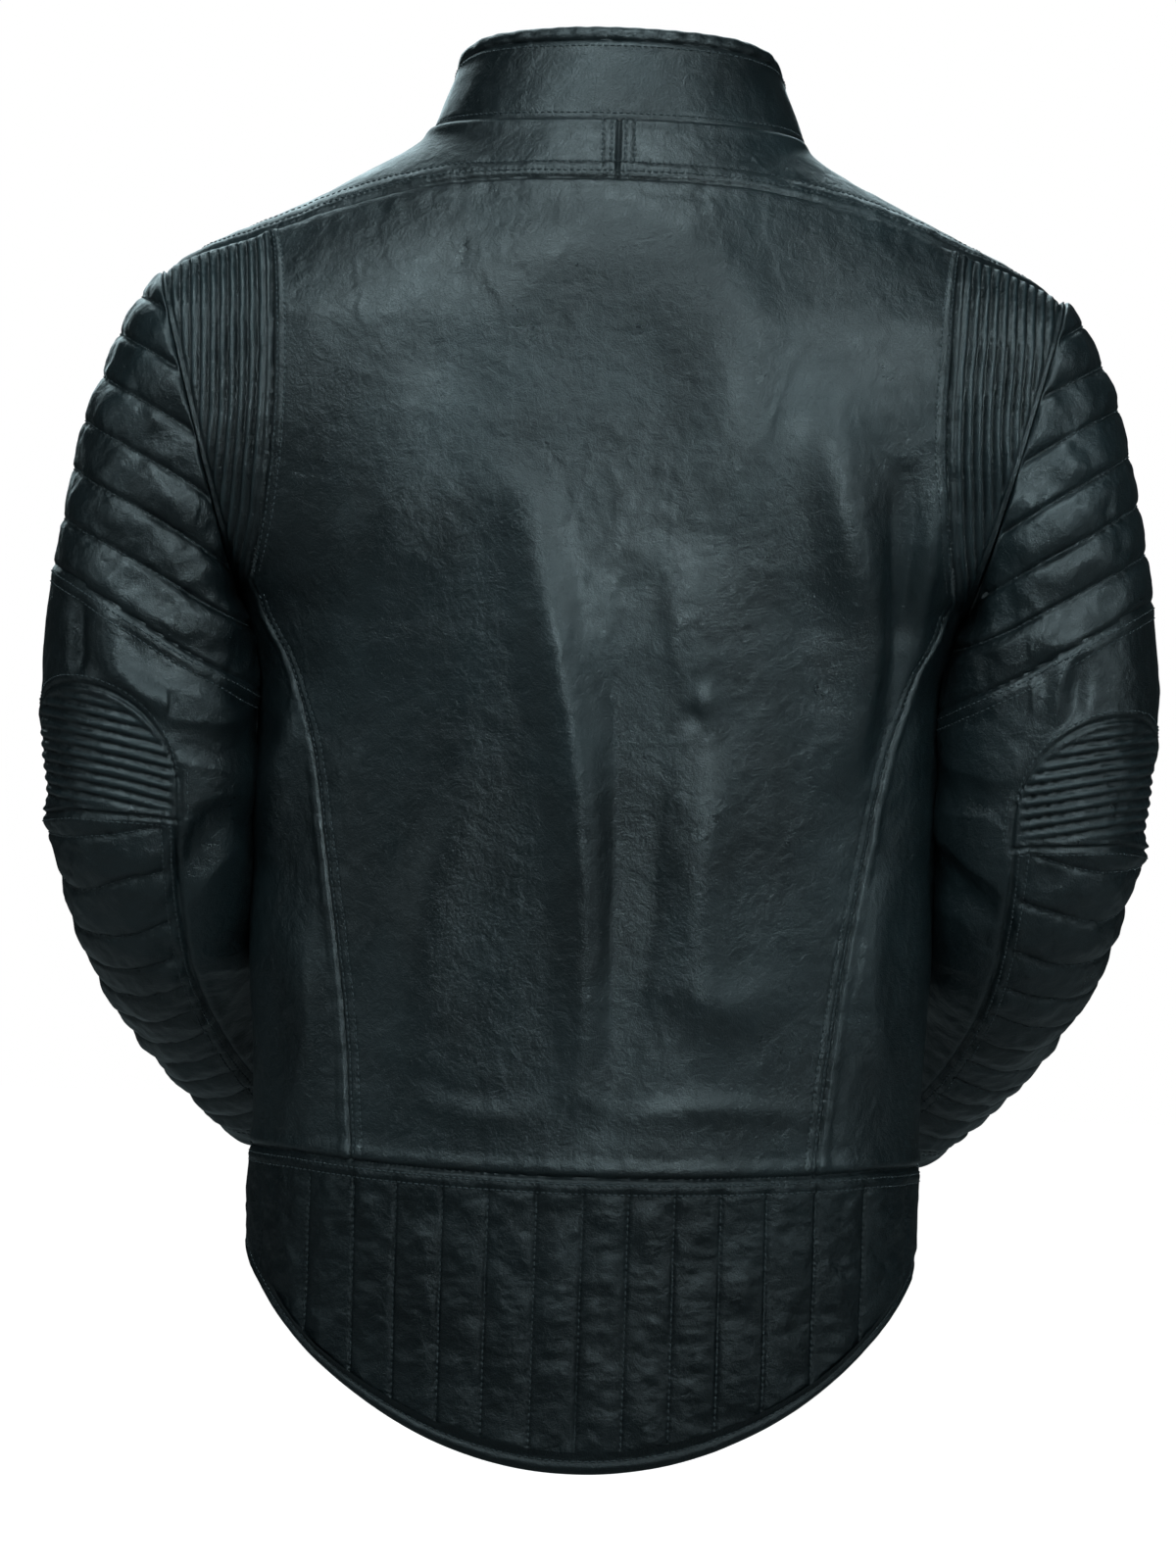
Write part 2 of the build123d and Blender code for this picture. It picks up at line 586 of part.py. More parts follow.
# ---------------------------------------------------------------- soft armour in the sleeves
sleeve_pad = shell_between(sleeve_form, PAD_OUT, PAD_IN)
shoulder_pad_points = [(228, -120), (262, -120), (300, -215), (228, -215)]
write_pair(trim(sleeve_pad, keep=[side_region(shoulder_pad_points, BIG, -BIG)]), "shoulder_armour")
elbow_pad_side = beyond(Plane(origin=(226, -10, -400), x_dir=(0, 0, 1), z_dir=Vector(0.5, 0.86, 0)))
with BuildPart() as elbow_armour:
    add(sleeve_form(PAD_OUT + 3, ELBOW_PAD))
    add(sleeve_form(PAD_IN + 2, ELBOW_PAD), mode=Mode.SUBTRACT)
    add(elbow_pad_side, mode=Mode.INTERSECT)
write_pair(elbow_armour.part, "elbow_armour")
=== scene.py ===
import json
import math

import bpy
import numpy as np
from mathutils import Matrix, Vector


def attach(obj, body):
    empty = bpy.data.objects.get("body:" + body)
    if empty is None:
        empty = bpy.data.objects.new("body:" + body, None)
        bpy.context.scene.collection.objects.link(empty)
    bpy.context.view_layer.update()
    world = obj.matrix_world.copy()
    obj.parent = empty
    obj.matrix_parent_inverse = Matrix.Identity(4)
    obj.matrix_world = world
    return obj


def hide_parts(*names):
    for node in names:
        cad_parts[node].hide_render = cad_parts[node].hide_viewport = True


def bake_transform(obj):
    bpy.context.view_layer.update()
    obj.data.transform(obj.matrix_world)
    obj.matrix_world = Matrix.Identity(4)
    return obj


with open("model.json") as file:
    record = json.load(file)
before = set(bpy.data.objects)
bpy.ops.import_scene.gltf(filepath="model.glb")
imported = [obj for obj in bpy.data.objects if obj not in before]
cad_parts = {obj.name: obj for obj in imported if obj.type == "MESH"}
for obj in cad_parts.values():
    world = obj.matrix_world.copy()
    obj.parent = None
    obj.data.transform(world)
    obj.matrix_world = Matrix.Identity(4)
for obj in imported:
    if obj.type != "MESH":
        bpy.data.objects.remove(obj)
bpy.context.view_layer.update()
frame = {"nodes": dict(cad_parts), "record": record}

MM = 0.001

# ------------ form of the jacket, in millimetres
WAIST_Z = -533.0
FRONT_HEM_Z = -578.0
THROAT_Y = -92.0
THROAT_Z = -36.0
FRONT_SLOPE = 0.0686
# Torso sections: height, half width, back depth, front depth (None: on the front edge line).
TORSO = [
    (-700.0, 176.0, 106.5, None), (-533.0, 174.0, 106.0, None), (-400.0, 175.0, 109.0, None),
    (-300.0, 175.5, 118.0, None), (-262.0, 180.0, 121.0, None), (-210.0, 228.0, 121.0, None),
    (-160.0, 258.0, 118.0, None), (-110.0, 264.0, 110.0, None), (-80.0, 232.0, 102.0, None),
    (-60.0, 198.0, 96.0, None), (-35.0, 147.0, 86.0, -92.0), (-8.0, 99.0, 67.0, -60.0),
    (8.0, 88.0, 55.0, -42.0),
]
# Sleeve sections: centre, direction, half width across, half depth fore and aft.
SLEEVE = [
    ((209.5, 5.0, -171.1), (0.964, 0.0, -0.265), 94.0, 66.0),
    ((223.0, 6.0, -205.0), (0.846, 0.0, -0.533), 77.0, 66.0),
    ((232.0, 8.0, -252.0), (0.508, 0.0, -0.862), 59.0, 63.0),
    ((235.0, 9.0, -301.0), (0.10, -0.05, -0.994), 54.0, 60.0),
    ((233.0, 4.0, -352.0), (-0.06, -0.30, -0.95), 52.0, 56.0),
    ((226.0, -30.0, -403.0), (-0.22, -0.66, -0.72), 48.0, 53.0),
    ((206.0, -98.0, -453.0), (-0.36, -0.75, -0.55), 46.0, 48.0),
    ((165.0, -182.0, -508.0), (-0.40, -0.75, -0.53), 43.0, 44.0),
]
# Collar sections: height, half width, middle of the depth, half depth.
COLLAR = [(-45.0, 111.0, -7.0, 85.0), (0.0, 96.0, -15.0, 76.0), (60.0, 74.0, -28.0, 63.0)]
# Seams: place along the seam, and its height or its distance from the middle.
NECK_SEAM = [(-125, -55), (-92, -36), (-60, -20), (-15, -5), (20, -1), (61, 0), (92, 6)]
COLLAR_TOP = [(-125, 1), (-75, 17), (-40, 33), (0, 46), (40, 50), (92, 53)]
YOKE_SEAM = [(0, -33), (60, -34), (115, -41), (147, -50), (177, -61), (210, -71), (240, -83), (275, -95)]
FRONT_YOKE = [(0, 5), (30, 0), (70, -14), (110, -36), (150, -58), (190, -82), (215, -98), (275, -135)]
GUSSET_SEAM = [(-262, 186), (-240, 180), (-200, 174), (-150, 171), (-100, 173), (-60, 177), (-30, 180)]
PRINCESS = [
    (-545, 116), (-533, 118), (-475, 124), (-420, 131), (-370, 139), (-320, 148), (-282, 160), (-240, 180),
]
TAIL_DROP = 108.0
TAIL_HALF = 177.0
ARMPIT_X, ARMPIT_Z = 184.0, -262.0
SHOULDER_X, SHOULDER_Z = 234.0, -80.0
CHANNELS = [-144, -118.5, -93.5, -70, -46.5, -23, 0, 23.5, 48, 71, 94.5, 116, 140]  # tail quilting lines


def smooth(points):
    """A monotone cubic through (position, value) points, as a function of arrays."""
    xs, ys = (np.array(c, float) for c in zip(*points))
    step = np.diff(xs)
    slope = np.diff(ys) / step
    tangent = np.concatenate([[slope[0]], np.zeros(len(xs) - 2), [slope[-1]]])
    for i in range(1, len(xs) - 1):
        if slope[i - 1] * slope[i] > 0:
            w1 = 2 * step[i] + step[i - 1]
            w2 = step[i] + 2 * step[i - 1]
            tangent[i] = (w1 + w2) / (w1 / slope[i - 1] + w2 / slope[i])

    def value(x):
        x = np.clip(x, xs[0], xs[-1])
        i = np.clip(np.searchsorted(xs, x) - 1, 0, len(xs) - 2)
        h = step[i]
        t = (x - xs[i]) / h
        return ((1 + 2 * t) * (1 - t) ** 2 * ys[i] + t * (1 - t) ** 2 * h * tangent[i]
                + t * t * (3 - 2 * t) * ys[i + 1] + t * t * (t - 1) * h * tangent[i + 1])

    return value


def front_line(z):
    return THROAT_Y + (z - THROAT_Z) * FRONT_SLOPE


HALF_WIDTH = smooth([(z, a) for z, a, b, f in TORSO])
BACK_Y = smooth([(z, b) for z, a, b, f in TORSO])
FRONT_Y = smooth([(z, front_line(z) if f is None else f) for z, a, b, f in TORSO])
NECK = smooth(NECK_SEAM)
TOP = smooth(COLLAR_TOP)
YOKE_Z = smooth(YOKE_SEAM)
FRONT_YOKE_Z = smooth(FRONT_YOKE)
GUSSET_X = smooth(GUSSET_SEAM)
PRINCESS_X = smooth(PRINCESS)
ZIP_GAP = 9.0


def hem_z(x):
    """Height of the hem's edge across the back, where the tail drops below the front's hem."""
    return FRONT_HEM_Z - TAIL_DROP * np.clip(1 - (x / TAIL_HALF) ** 2, 0, 1) ** 0.7


def armhole_x(z):
    """Distance of the sleeve's plane from the middle, at a height."""
    return ARMPIT_X + (SHOULDER_X - ARMPIT_X) * (z - ARMPIT_Z) / (SHOULDER_Z - ARMPIT_Z)


# ------------ noise and small helpers
CELLS = 64
LATTICES = {}


def noise(p, size, seed, octaves=3):
    """Smooth fractal noise at points p (..., 3) in millimetres, with features of that size."""
    if seed not in LATTICES:
        LATTICES[seed] = np.random.default_rng(seed).random((CELLS, CELLS, CELLS)) * 2 - 1
    grid = LATTICES[seed]
    total, amount, q = 0, 1.0, p / size
    for _ in range(octaves):
        cell = np.floor(q).astype(int)
        f = q - cell
        f = f * f * (3 - 2 * f)
        value = 0
        for dx in (0, 1):
            for dy in (0, 1):
                for dz in (0, 1):
                    w = np.abs(1 - dx - f[..., 0]) * np.abs(1 - dy - f[..., 1]) * np.abs(1 - dz - f[..., 2])
                    near = (cell + np.array([dx, dy, dz])) % CELLS
                    value = value + w * grid[near[..., 0], near[..., 1], near[..., 2]]
        total = total + amount * value
        amount *= 0.5
        q = q * 2.03 + 11.7
    return total


def bump(d, width):
    """A bell of height 1 at d = 0."""
    return np.exp(-((d / width) ** 2))


def step_up(x, low, high):
    """A smooth step from 0 at low to 1 at high."""
    t = np.clip((x - low) / (high - low), 0, 1)
    return t * t * (3 - 2 * t)


STITCH_LINES = (3.4, 8.2)  # distances of the two rows of topstitching from their seam
STITCH_PITCH = 3.4
STITCH_LENGTH = 2.7
THREAD_RADIUS = 0.42
THREAD_SIDES = 6
# Rings along one stitch: place along it, share of the thread's radius, rise above the leather.
THREAD_RINGS = [(-1.0, 0.3, -0.35), (-0.72, 0.85, 0.0), (0, 1.0, 0.16), (0.72, 0.85, 0.0), (1.0, 0.3, -0.35)]


def seam(d, along, sides=(1,), depth=1.7, swell=0.9):
    """Height across a seam at signed distance d: a groove, its swell, and stitch lines on the given sides."""
    height = -depth * bump(d, 1.25) + swell * bump(np.abs(d) - 4.2, 3.6)
    for side in sides:
        for row, line in enumerate(STITCH_LINES):
            dots = 0.72 + 0.28 * np.cos(2 * math.pi * along / STITCH_PITCH)
            height = height - (0.55 - 0.12 * row) * dots * bump(d * side - line, 1.0)
    pucker = np.sin(along / 3.1) * np.sin(along / 7.3 + 1.3) + 0.6 * np.sin(along / 12.7 + 0.5)
    return height + 0.28 * pucker * bump(np.abs(d) - 5, 7)


def ridge(x, z, points, width, height):
    """Height of a fold that runs in a smooth curve along (x, z) points and fades at its ends."""
    points = np.array(points, float)
    for _ in range(2):
        a, b = points[:-1], points[1:]
        cut = np.stack([0.75 * a + 0.25 * b, 0.25 * a + 0.75 * b], axis=1).reshape(-1, 2)
        points = np.concatenate([points[:1], cut, points[-1:]])
    result = np.zeros(x.shape)
    low, high = points.min(axis=0) - 3 * width, points.max(axis=0) + 3 * width
    near = (x > low[0]) & (x < high[0]) & (z > low[1]) & (z < high[1])
    x, z = x[near], z[near]
    best = np.full(x.shape, 1e9)
    for a, b in zip(points, points[1:]):
        d = b - a
        t = np.clip(((x - a[0]) * d[0] + (z - a[1]) * d[1]) / (d @ d), 0, 1)
        best = np.minimum(best, np.hypot(x - a[0] - t * d[0], z - a[1] - t * d[1]))
    chord = points[-1] - points[0]
    share = ((x - points[0, 0]) * chord[0] + (z - points[0, 1]) * chord[1]) / (chord @ chord)
    fade = np.clip(1 - ((share - 0.5) / 0.65) ** 2, 0, 1) ** 1.5
    result[near] = height * bump(best, width) * fade
    return result


def unit(v):
    return v / np.maximum(np.linalg.norm(v, axis=-1, keepdims=True), 1e-9)


def normals_of(P, closed=False):
    """Unit normals of a grid of points (rows, columns, 3), pointing out; a closed grid joins round."""
    cols = P.shape[1]
    if closed:
        P = np.concatenate([P, P[:, :2]], axis=1)
    n = unit(np.cross(np.gradient(P, axis=1), np.gradient(P, axis=0)))[:, :cols]
    if closed:
        n[:, 0] = n[:, 1]
        return n * np.sign(n[len(n) // 2, 1, 0])
    return n * np.sign(n[len(n) // 2, cols // 2, 1])


def quad_object(name, co, quads):
    """A smooth object of quads, from vertices in metres."""
    mesh = bpy.data.meshes.new(name)
    mesh.vertices.add(len(co))
    mesh.vertices.foreach_set("co", co.astype(np.float32).ravel())
    mesh.loops.add(quads.size)
    mesh.loops.foreach_set("vertex_index", quads.ravel().astype(np.int32))
    mesh.polygons.add(len(quads))
    mesh.polygons.foreach_set("loop_start", (np.arange(len(quads)) * 4).astype(np.int32))
    mesh.update(calc_edges=True)
    mesh.polygons.foreach_set("use_smooth", np.ones(len(quads), bool))
    obj = bpy.data.objects.new(name, mesh)
    bpy.context.collection.objects.link(obj)
    return obj


def mesh_from_grid(name, P, keep, crest_and_valley_shade=None, flip=False, wrap=False):
    """An object of the kept quads of a grid of points in millimetres, with the leather's crest attribute:
    lighter on rib tops, and painted shade in the rib valleys.
    """
    rows, cols = P.shape[:2]
    index = np.arange(rows * cols).reshape(rows, cols)
    right = np.roll(index, -1, axis=1) if wrap else index[:, 1:]
    left = index if wrap else index[:, :-1]
    quads = np.stack([left[:-1], right[:-1], right[1:], left[1:]], axis=-1)
    quads = quads[keep]
    if flip:
        quads = quads[:, ::-1]
    used, inverse = np.unique(quads.ravel(), return_inverse=True)
    obj = quad_object(name, P.reshape(-1, 3)[used] * MM, inverse.reshape(-1, 4))
    if crest_and_valley_shade is not None:
        layer = obj.data.attributes.new("crest_and_valley_shade", "FLOAT", "POINT")
        layer.data.foreach_set("value", crest_and_valley_shade.reshape(-1)[used].astype(np.float32))
    return obj


EDGE_RADIUS = 1.3
EDGE_TURNS = np.linspace(0.4, math.pi, 6)
EDGE_BACK = (3, 7, 12)  # how far the leather runs back inside, row by row
EDGE_ROWS = len(EDGE_TURNS) + len(EDGE_BACK)


def round_edge(edge, along, n):
    """Rows that carry an edge round to the inside."""
    return [edge + EDGE_RADIUS * (along * math.sin(a) - n * (1 - math.cos(a))) for a in EDGE_TURNS]


def turned_edge(P, N):
    """The grid with rows added before row 0 that carry it round its edge and back inside."""
    along = unit(P[:1] - P[1:2])
    rows = round_edge(P[:1], along, N[:1])
    rows += [P[:1] - along * step - N[:1] * (2.1 * EDGE_RADIUS + 0.14 * step) for step in EDGE_BACK]
    return np.concatenate([*rows[::-1], P])


def iso_line(field, level, mask, points, normals, by_row=False):
    """Points and normals where a field crosses a level, one for each column, or for each row."""
    if by_row:
        field, mask = field.T, mask.T
        points, normals = points.transpose(1, 0, 2), normals.transpose(1, 0, 2)
    crossing = ((field[:-1] - level) * (field[1:] - level) <= 0) & mask[:-1] & mask[1:]
    cols = np.nonzero(crossing.any(axis=0))[0]
    rows = np.argmax(crossing, axis=0)[cols]
    a, b = field[rows, cols], field[rows + 1, cols]
    t = np.clip((level - a) / np.where(a == b, 1.0, b - a), 0, 1)[:, None]
    return points[rows, cols] * (1 - t) + points[rows + 1, cols] * t, normals[rows, cols]


def stitches(name, lines):
    """Small sewn stitches of thread along lines of points with normals."""
    centres, halves, ups = [], [], []
    for points, normals in lines:
        if len(points) < 3:
            continue
        breaks = np.nonzero(np.linalg.norm(np.diff(points, axis=0), axis=1) > 7)[0] + 1
        for p, n in zip(np.split(points, breaks), np.split(normals, breaks)):
            if len(p) < 3:
                continue
            s = np.concatenate([[0], np.cumsum(np.linalg.norm(np.diff(p, axis=0), axis=1))])
            middles = np.arange(STITCH_PITCH / 2, s[-1] - STITCH_PITCH / 2, STITCH_PITCH)
            if len(middles) == 0:
                continue

            def at(where, values):
                return np.stack([np.interp(where, s, values[:, k]) for k in range(3)], axis=-1)

            centres.append(at(middles, p))
            halves.append((at(middles + STITCH_LENGTH / 2, p) - at(middles - STITCH_LENGTH / 2, p)) / 2)
            ups.append(at(middles, n))
    c, d, n = (np.concatenate(part) for part in (centres, halves, ups))
    n = unit(n)
    across = unit(np.cross(d, n))
    rings = []
    for t, share, rise in THREAD_RINGS:
        for k in range(THREAD_SIDES):
            a = 2 * math.pi * k / THREAD_SIDES
            r = THREAD_RADIUS * share
            rings.append(c + d * t + n * (rise + r * math.sin(a)) + across * (r * math.cos(a)))
    ring = np.arange(len(rings)).reshape(len(THREAD_RINGS), THREAD_SIDES)
    turned = np.roll(ring, -1, axis=1)
    pattern = np.stack([ring[:-1], turned[:-1], turned[1:], ring[1:]], axis=-1).reshape(1, -1, 4)
    quads = (np.arange(len(c))[:, None, None] * len(rings) + pattern).reshape(-1, 4)
    return quad_object(name, np.stack(rings, axis=1).reshape(-1, 3) * MM, quads)


# ------------ materials
def node(tree, kind, **values):
    """A shader node, with its inputs and settings by name."""
    n = tree.nodes.new(kind)
    for key, value in values.items():
        if key in n.inputs:
            n.inputs[key].default_value = value
        else:
            setattr(n, key, value)
    return n


class Surface:
    """A material under construction, with its textures in object coordinates."""

    def __init__(self, name):
        self.material = bpy.data.materials.new(name)
        self.material.use_nodes = True
        self.tree = self.material.node_tree
        self.shader = self.tree.nodes["Principled BSDF"]
        self.link = self.tree.links.new
        self.where = node(self.tree, "ShaderNodeTexCoord").outputs["Object"]

    def feed(self, key, output):
        self.link(output, self.shader.inputs[key])

    def texture(self, kind, output="Fac", **values):
        made = node(self.tree, f"ShaderNodeTex{kind}", **values)
        self.link(self.where, made.inputs["Vector"])
        return made.outputs[output]

    def math(self, operation, first, second):
        made = node(self.tree, "ShaderNodeMath", operation=operation)
        self.link(first, made.inputs[0])
        self.link(second, made.inputs[1])
        return made.outputs[0]

    def remap(self, value, low=0.0, high=1.0, to_low=0.0, to_high=1.0):
        made = node(self.tree, "ShaderNodeMapRange")
        for key, number in (("From Min", low), ("From Max", high), ("To Min", to_low), ("To Max", to_high)):
            made.inputs[key].default_value = number
        self.link(value, made.inputs["Value"])
        return made.outputs["Result"]

    def colour(self, dark, light, share):
        made = node(self.tree, "ShaderNodeMix", data_type="RGBA")
        made.inputs["A"].default_value = (*dark, 1)
        made.inputs["B"].default_value = (*light, 1)
        self.link(share, made.inputs["Factor"])
        self.feed("Base Color", made.outputs["Result"])

    def relief(self, height, strength, distance, under=None):
        made = node(self.tree, "ShaderNodeBump", Strength=strength, Distance=distance)
        self.link(height, made.inputs["Height"])
        if under is not None:
            self.link(under, made.inputs["Normal"])
        return made.outputs["Normal"]


def leather_material(name, dark, light, rough, grain=0.35, crease=0.5, shine=0.5, coat=0.12):
    made = Surface(name)
    clouds = made.remap(made.texture("Noise", Scale=9.0, Detail=5.0, Roughness=0.6), 0.42, 0.75)
    # Colour: a random cloudy tone plus the crest attribute, which lightens rib tops and darkens the rib
    # valleys with painted shade.
    crest_and_valley_shade = node(made.tree, "ShaderNodeAttribute", attribute_name="crest_and_valley_shade").outputs["Fac"]
    limit = node(made.tree, "ShaderNodeClamp")
    made.link(made.math("ADD", crest_and_valley_shade, clouds), limit.inputs["Value"])
    made.colour(dark, light, limit.outputs[0])
    fine = made.texture("Noise", Scale=60.0, Detail=6.0, Roughness=0.65)
    made.feed("Roughness", made.remap(fine, 0.3, 0.7, rough - 0.07, rough + 0.12))
    cells = made.texture("Voronoi", "Distance", feature="DISTANCE_TO_EDGE", Scale=620.0)
    pores = made.remap(cells, 0.0, 0.14)
    creases = made.texture("Noise", Scale=130.0, Detail=7.0, Roughness=0.62, Distortion=0.6)
    swells = made.texture("Noise", Scale=34.0, Detail=4.0, Roughness=0.55, Distortion=0.4)
    coarse = made.relief(creases, crease, 0.0014, made.relief(swells, 0.42, 0.0035))
    made.feed("Normal", made.relief(pores, grain, 0.00018, coarse))
    made.shader.inputs["Specular IOR Level"].default_value = shine
    made.shader.inputs["Coat Weight"].default_value = coat
    made.shader.inputs["Coat Roughness"].default_value = 0.28
    return made.material


def cloth_material(name, dark, light, scale, rough=0.85, sheen=0.3):
    made = Surface(name)
    wave = dict(Scale=scale, Distortion=0.6, Detail=1.0)
    across, along = (made.texture("Wave", bands_direction=axis, **wave) for axis in ("X", "Z"))
    weave = made.math("MULTIPLY", across, along)
    made.colour(dark, light, weave)
    made.feed("Normal", made.relief(weave, 0.4, 0.0003))
    made.shader.inputs["Roughness"].default_value = rough
    made.shader.inputs["Sheen Weight"].default_value = sheen
    return made.material


def metal_material(name, dark, light, rough):
    made = Surface(name)
    scratch = made.texture("Noise", Scale=400.0, Detail=6.0, Roughness=0.7)
    made.colour(dark, light, scratch)
    made.feed("Roughness", made.remap(scratch, 0.0, 1.0, rough - 0.08, rough + 0.15))
    made.shader.inputs["Metallic"].default_value = 1.0
    return made.material


LEATHER = leather_material("leather", (0.0030, 0.0052, 0.0060), (0.0120, 0.0190, 0.0212), 0.33, 0.4, 0.7)
TAIL = leather_material(
    "leather_tail", (0.0020, 0.0036, 0.0042), (0.0070, 0.0110, 0.0125), 0.38, 0.4, 0.7, 0.32, 0.04
)
TRIM = leather_material("leather_trim", (0.003, 0.005, 0.0058), (0.010, 0.016, 0.018), 0.42)
THREAD = cloth_material("thread", (0.010, 0.015, 0.017), (0.036, 0.046, 0.050), 900.0, 0.6, 0.1)
LINING = cloth_material("lining", (0.008, 0.008, 0.009), (0.02, 0.02, 0.022), 500.0, 0.55, 0.5)
COLLAR_CLOTH = cloth_material("collar_cloth", (0.008, 0.009, 0.01), (0.02, 0.021, 0.023), 420.0)
TAPE = cloth_material("zip_tape", (0.005, 0.005, 0.006), (0.014, 0.014, 0.015), 600.0)
FOAM = cloth_material("armour_foam", (0.03, 0.03, 0.033), (0.06, 0.06, 0.065), 200.0, 0.9, 0.1)
METAL = metal_material("zip_metal", (0.10, 0.10, 0.105), (0.20, 0.20, 0.21), 0.35)
SNAP = metal_material("snap_metal", (0.07, 0.07, 0.075), (0.15, 0.15, 0.155), 0.3)
COIL = metal_material("zip_coil", (0.01, 0.01, 0.011), (0.03, 0.03, 0.032), 0.45)


def dress(obj, material, slot, *nodes, body="jacket"):
    """Gives a piece its material and its body, and hides the CAD nodes it stands for; the slot argument is
    not used.
    """
    obj.data.materials.clear()
    obj.data.materials.append(material)
    if nodes:
        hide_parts(*nodes)
    if body:
        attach(obj, body)
    return obj


# ------------ torso
HEM_STITCH = 5.6  # rows of stitching from the hem's and the front's edge, and from the elbow gusset
EDGE_STITCH = 8.5
GUSSET_STITCH = 5.2
ROWS = 700
COLS_BACK = 400
COLS_FRONT = 80


def torso_point(x_sin, x_cos, z):
    """Outer surface of the torso in the direction given by sine and cosine from the back."""
    a = HALF_WIDTH(z)
    back, front = BACK_Y(z), FRONT_Y(z)
    return np.stack([a * x_sin, (back + front) / 2 + (back - front) / 2 * x_cos, z], axis=-1)


def torso_grid(rows, back, front):
    """Base points of the torso from the hem (row 0) to the neck seam, and their angles from the back."""
    half = np.concatenate([np.linspace(0, 0.5, back, endpoint=False), np.linspace(0.5, 1, front)])
    u = np.concatenate([-half[:0:-1], half])
    # The rows are closer together near the yoke seam and the neck.
    v = np.interp(np.linspace(0, 1, rows), (0, 0.30, 0.72, 1), (0, 0.27, 0.84, 1))[:, None]
    tau_top = u * math.pi
    low = np.where(np.abs(u) < 0.5, hem_z(np.abs(176 * np.sin(tau_top))), FRONT_HEM_Z)
    high = np.zeros(len(u))
    for _ in range(12):
        p = torso_point(np.sin(tau_top), np.cos(tau_top), high)
        high = 0.5 * high + 0.5 * NECK(p[:, 1])
    z = low[None, :] * (1 - v) + high[None, :] * v
    gap = ZIP_GAP / HALF_WIDTH(z)
    tau = u[None, :] * (math.pi - gap * np.abs(u[None, :]) ** 6)
    return torso_point(np.sin(tau), np.cos(tau), z), tau


P, tau = torso_grid(ROWS, COLS_BACK, COLS_FRONT)
NORMAL = normals_of(P)
X, Y, Z = P[..., 0], P[..., 1], P[..., 2]
AX = np.abs(X)
BACK = np.abs(tau) < math.pi / 2
flat = np.maximum(np.abs(np.cos(tau)), 0.35)  # how square the surface stands to a viewer behind or before it

above_yoke = np.where(BACK, Z - YOKE_Z(AX), Z - FRONT_YOKE_Z(AX))
yoke_d = above_yoke * 0.93
gusset_d = (AX - GUSSET_X(Z)) / flat
princess_d = (AX - PRINCESS_X(Z)) * 0.97 / flat
arm_d = (AX - armhole_x(Z)) * 0.964
low_down = Z < ARMPIT_Z
waist_z = WAIST_Z - 5 * np.maximum(0, 1 - (X / 150) ** 2)
hem_d = Z - np.where(BACK, hem_z(AX), FRONT_HEM_Z)

H = np.zeros(P.shape[:2])
# Crest attribute for the leather's colour: lighter on rib tops, painted shade in rib valleys.
crest_and_valley_shade = np.zeros(P.shape[:2])
below = above_yoke < 0
in_gusset = BACK & below & (AX > GUSSET_X(Z)) & ~low_down
in_tail = BACK & (Z < waist_z)

# Pillowing and soft undulation of the leather.
H += 2.0 * noise(P, 110, 1, 2) + 0.35 * noise(P, 30, 2, 3)
wrinkle = 1 - np.abs(noise(P * np.array([1.0, 1.0, 0.6]), 34, 3, 4))
H += 0.22 * step_up(wrinkle, 0.7, 1.0)

# Yoke seam, collar seam, centre seam of the yoke, waist and hem.
H += seam(yoke_d, X, (1,)) * (AX < 262)
H += np.where(above_yoke > -2, seam(X, Z, (1, -1), 1.3, 0.4) * BACK, 0) * step_up(above_yoke, -3, 1)
neck_d = Z - NECK(Y)
H += 1.2 * bump(neck_d + 3.5, 3) - 1.6 * bump(neck_d, 1.6)
H += np.where(BACK & below, seam(Z - waist_z, X, (-1,), 1.6, 1.0), 0)
H += 0.9 * bump(hem_d - 2.5, 2.5) - 0.5 * bump(hem_d - HEM_STITCH, 1.1) - 0.8 * bump(hem_d, 1.4)

# Inner seam of the pleated gussets, and the princess seams.
high_part = step_up(Z, -246, -232) * BACK * below
H += seam(gusset_d, Z, (-1,), 1.8, 0.9) * high_part
low_part = (1 - step_up(Z, -252, -236)) * step_up(Z, waist_z - 2, waist_z + 2) * BACK
H += seam(princess_d, Z, (-1,), 1.6, 0.7) * low_part
H -= 2.4 * bump(arm_d, 3.0) * ~low_down

# Ribs of the shoulder gussets: round pleats about 5 mm apart, parallel to the inner seam.
RIB = 5.1
rib_phase = (AX - GUSSET_X(Z) - 3.0) / RIB
rib = np.abs(np.sin(math.pi * rib_phase)) ** 0.75
wander = 0.85 + 0.25 * noise(P, 30, 4, 2)
rib_area = in_gusset * step_up(AX - GUSSET_X(Z), 2.5, 4) * step_up(-above_yoke, 1, 5) * step_up(-arm_d, 1, 5)
H += rib_area * (5.2 * rib * wander - 3.2)
# Crest attribute: lighter colour on the rib tops, and painted shade darkening the valleys between the ribs.
crest_and_valley_shade += rib_area * (1.1 * rib**5 * (0.8 + 0.4 * noise(P, 14, 5, 3)) - 0.6 * (1 - rib))

# Quilted channels of the tail.
channel = np.zeros(X.shape)
gap_to_line = np.full(X.shape, 99.0)
lines = [-200.0, -168.0, *CHANNELS, 166.0, 200.0]
for left, right in zip(lines, lines[1:]):
    inside = (X >= left) & (X < right)
    t = (X - left) / (right - left)
    channel = np.where(inside, np.abs(np.sin(math.pi * t)) ** 0.55, channel)
    gap_to_line = np.where(inside, np.minimum(X - left, right - X), gap_to_line)
tail_area = in_tail * step_up(waist_z - Z, 2, 12) * step_up(hem_d, 6.5, 11.5)
puff = 0.8 + 0.45 * noise(P, 16, 6, 2)
H += tail_area * (2.9 * channel * puff - 1.0)
H -= tail_area * 0.7 * bump(gap_to_line, 1.0) * (0.7 + 0.3 * np.cos(2 * math.pi * Z / STITCH_PITCH))
H += tail_area * 0.5 * noise(P * np.array([1.0, 1.0, 1.8]), 9, 7, 2) * channel

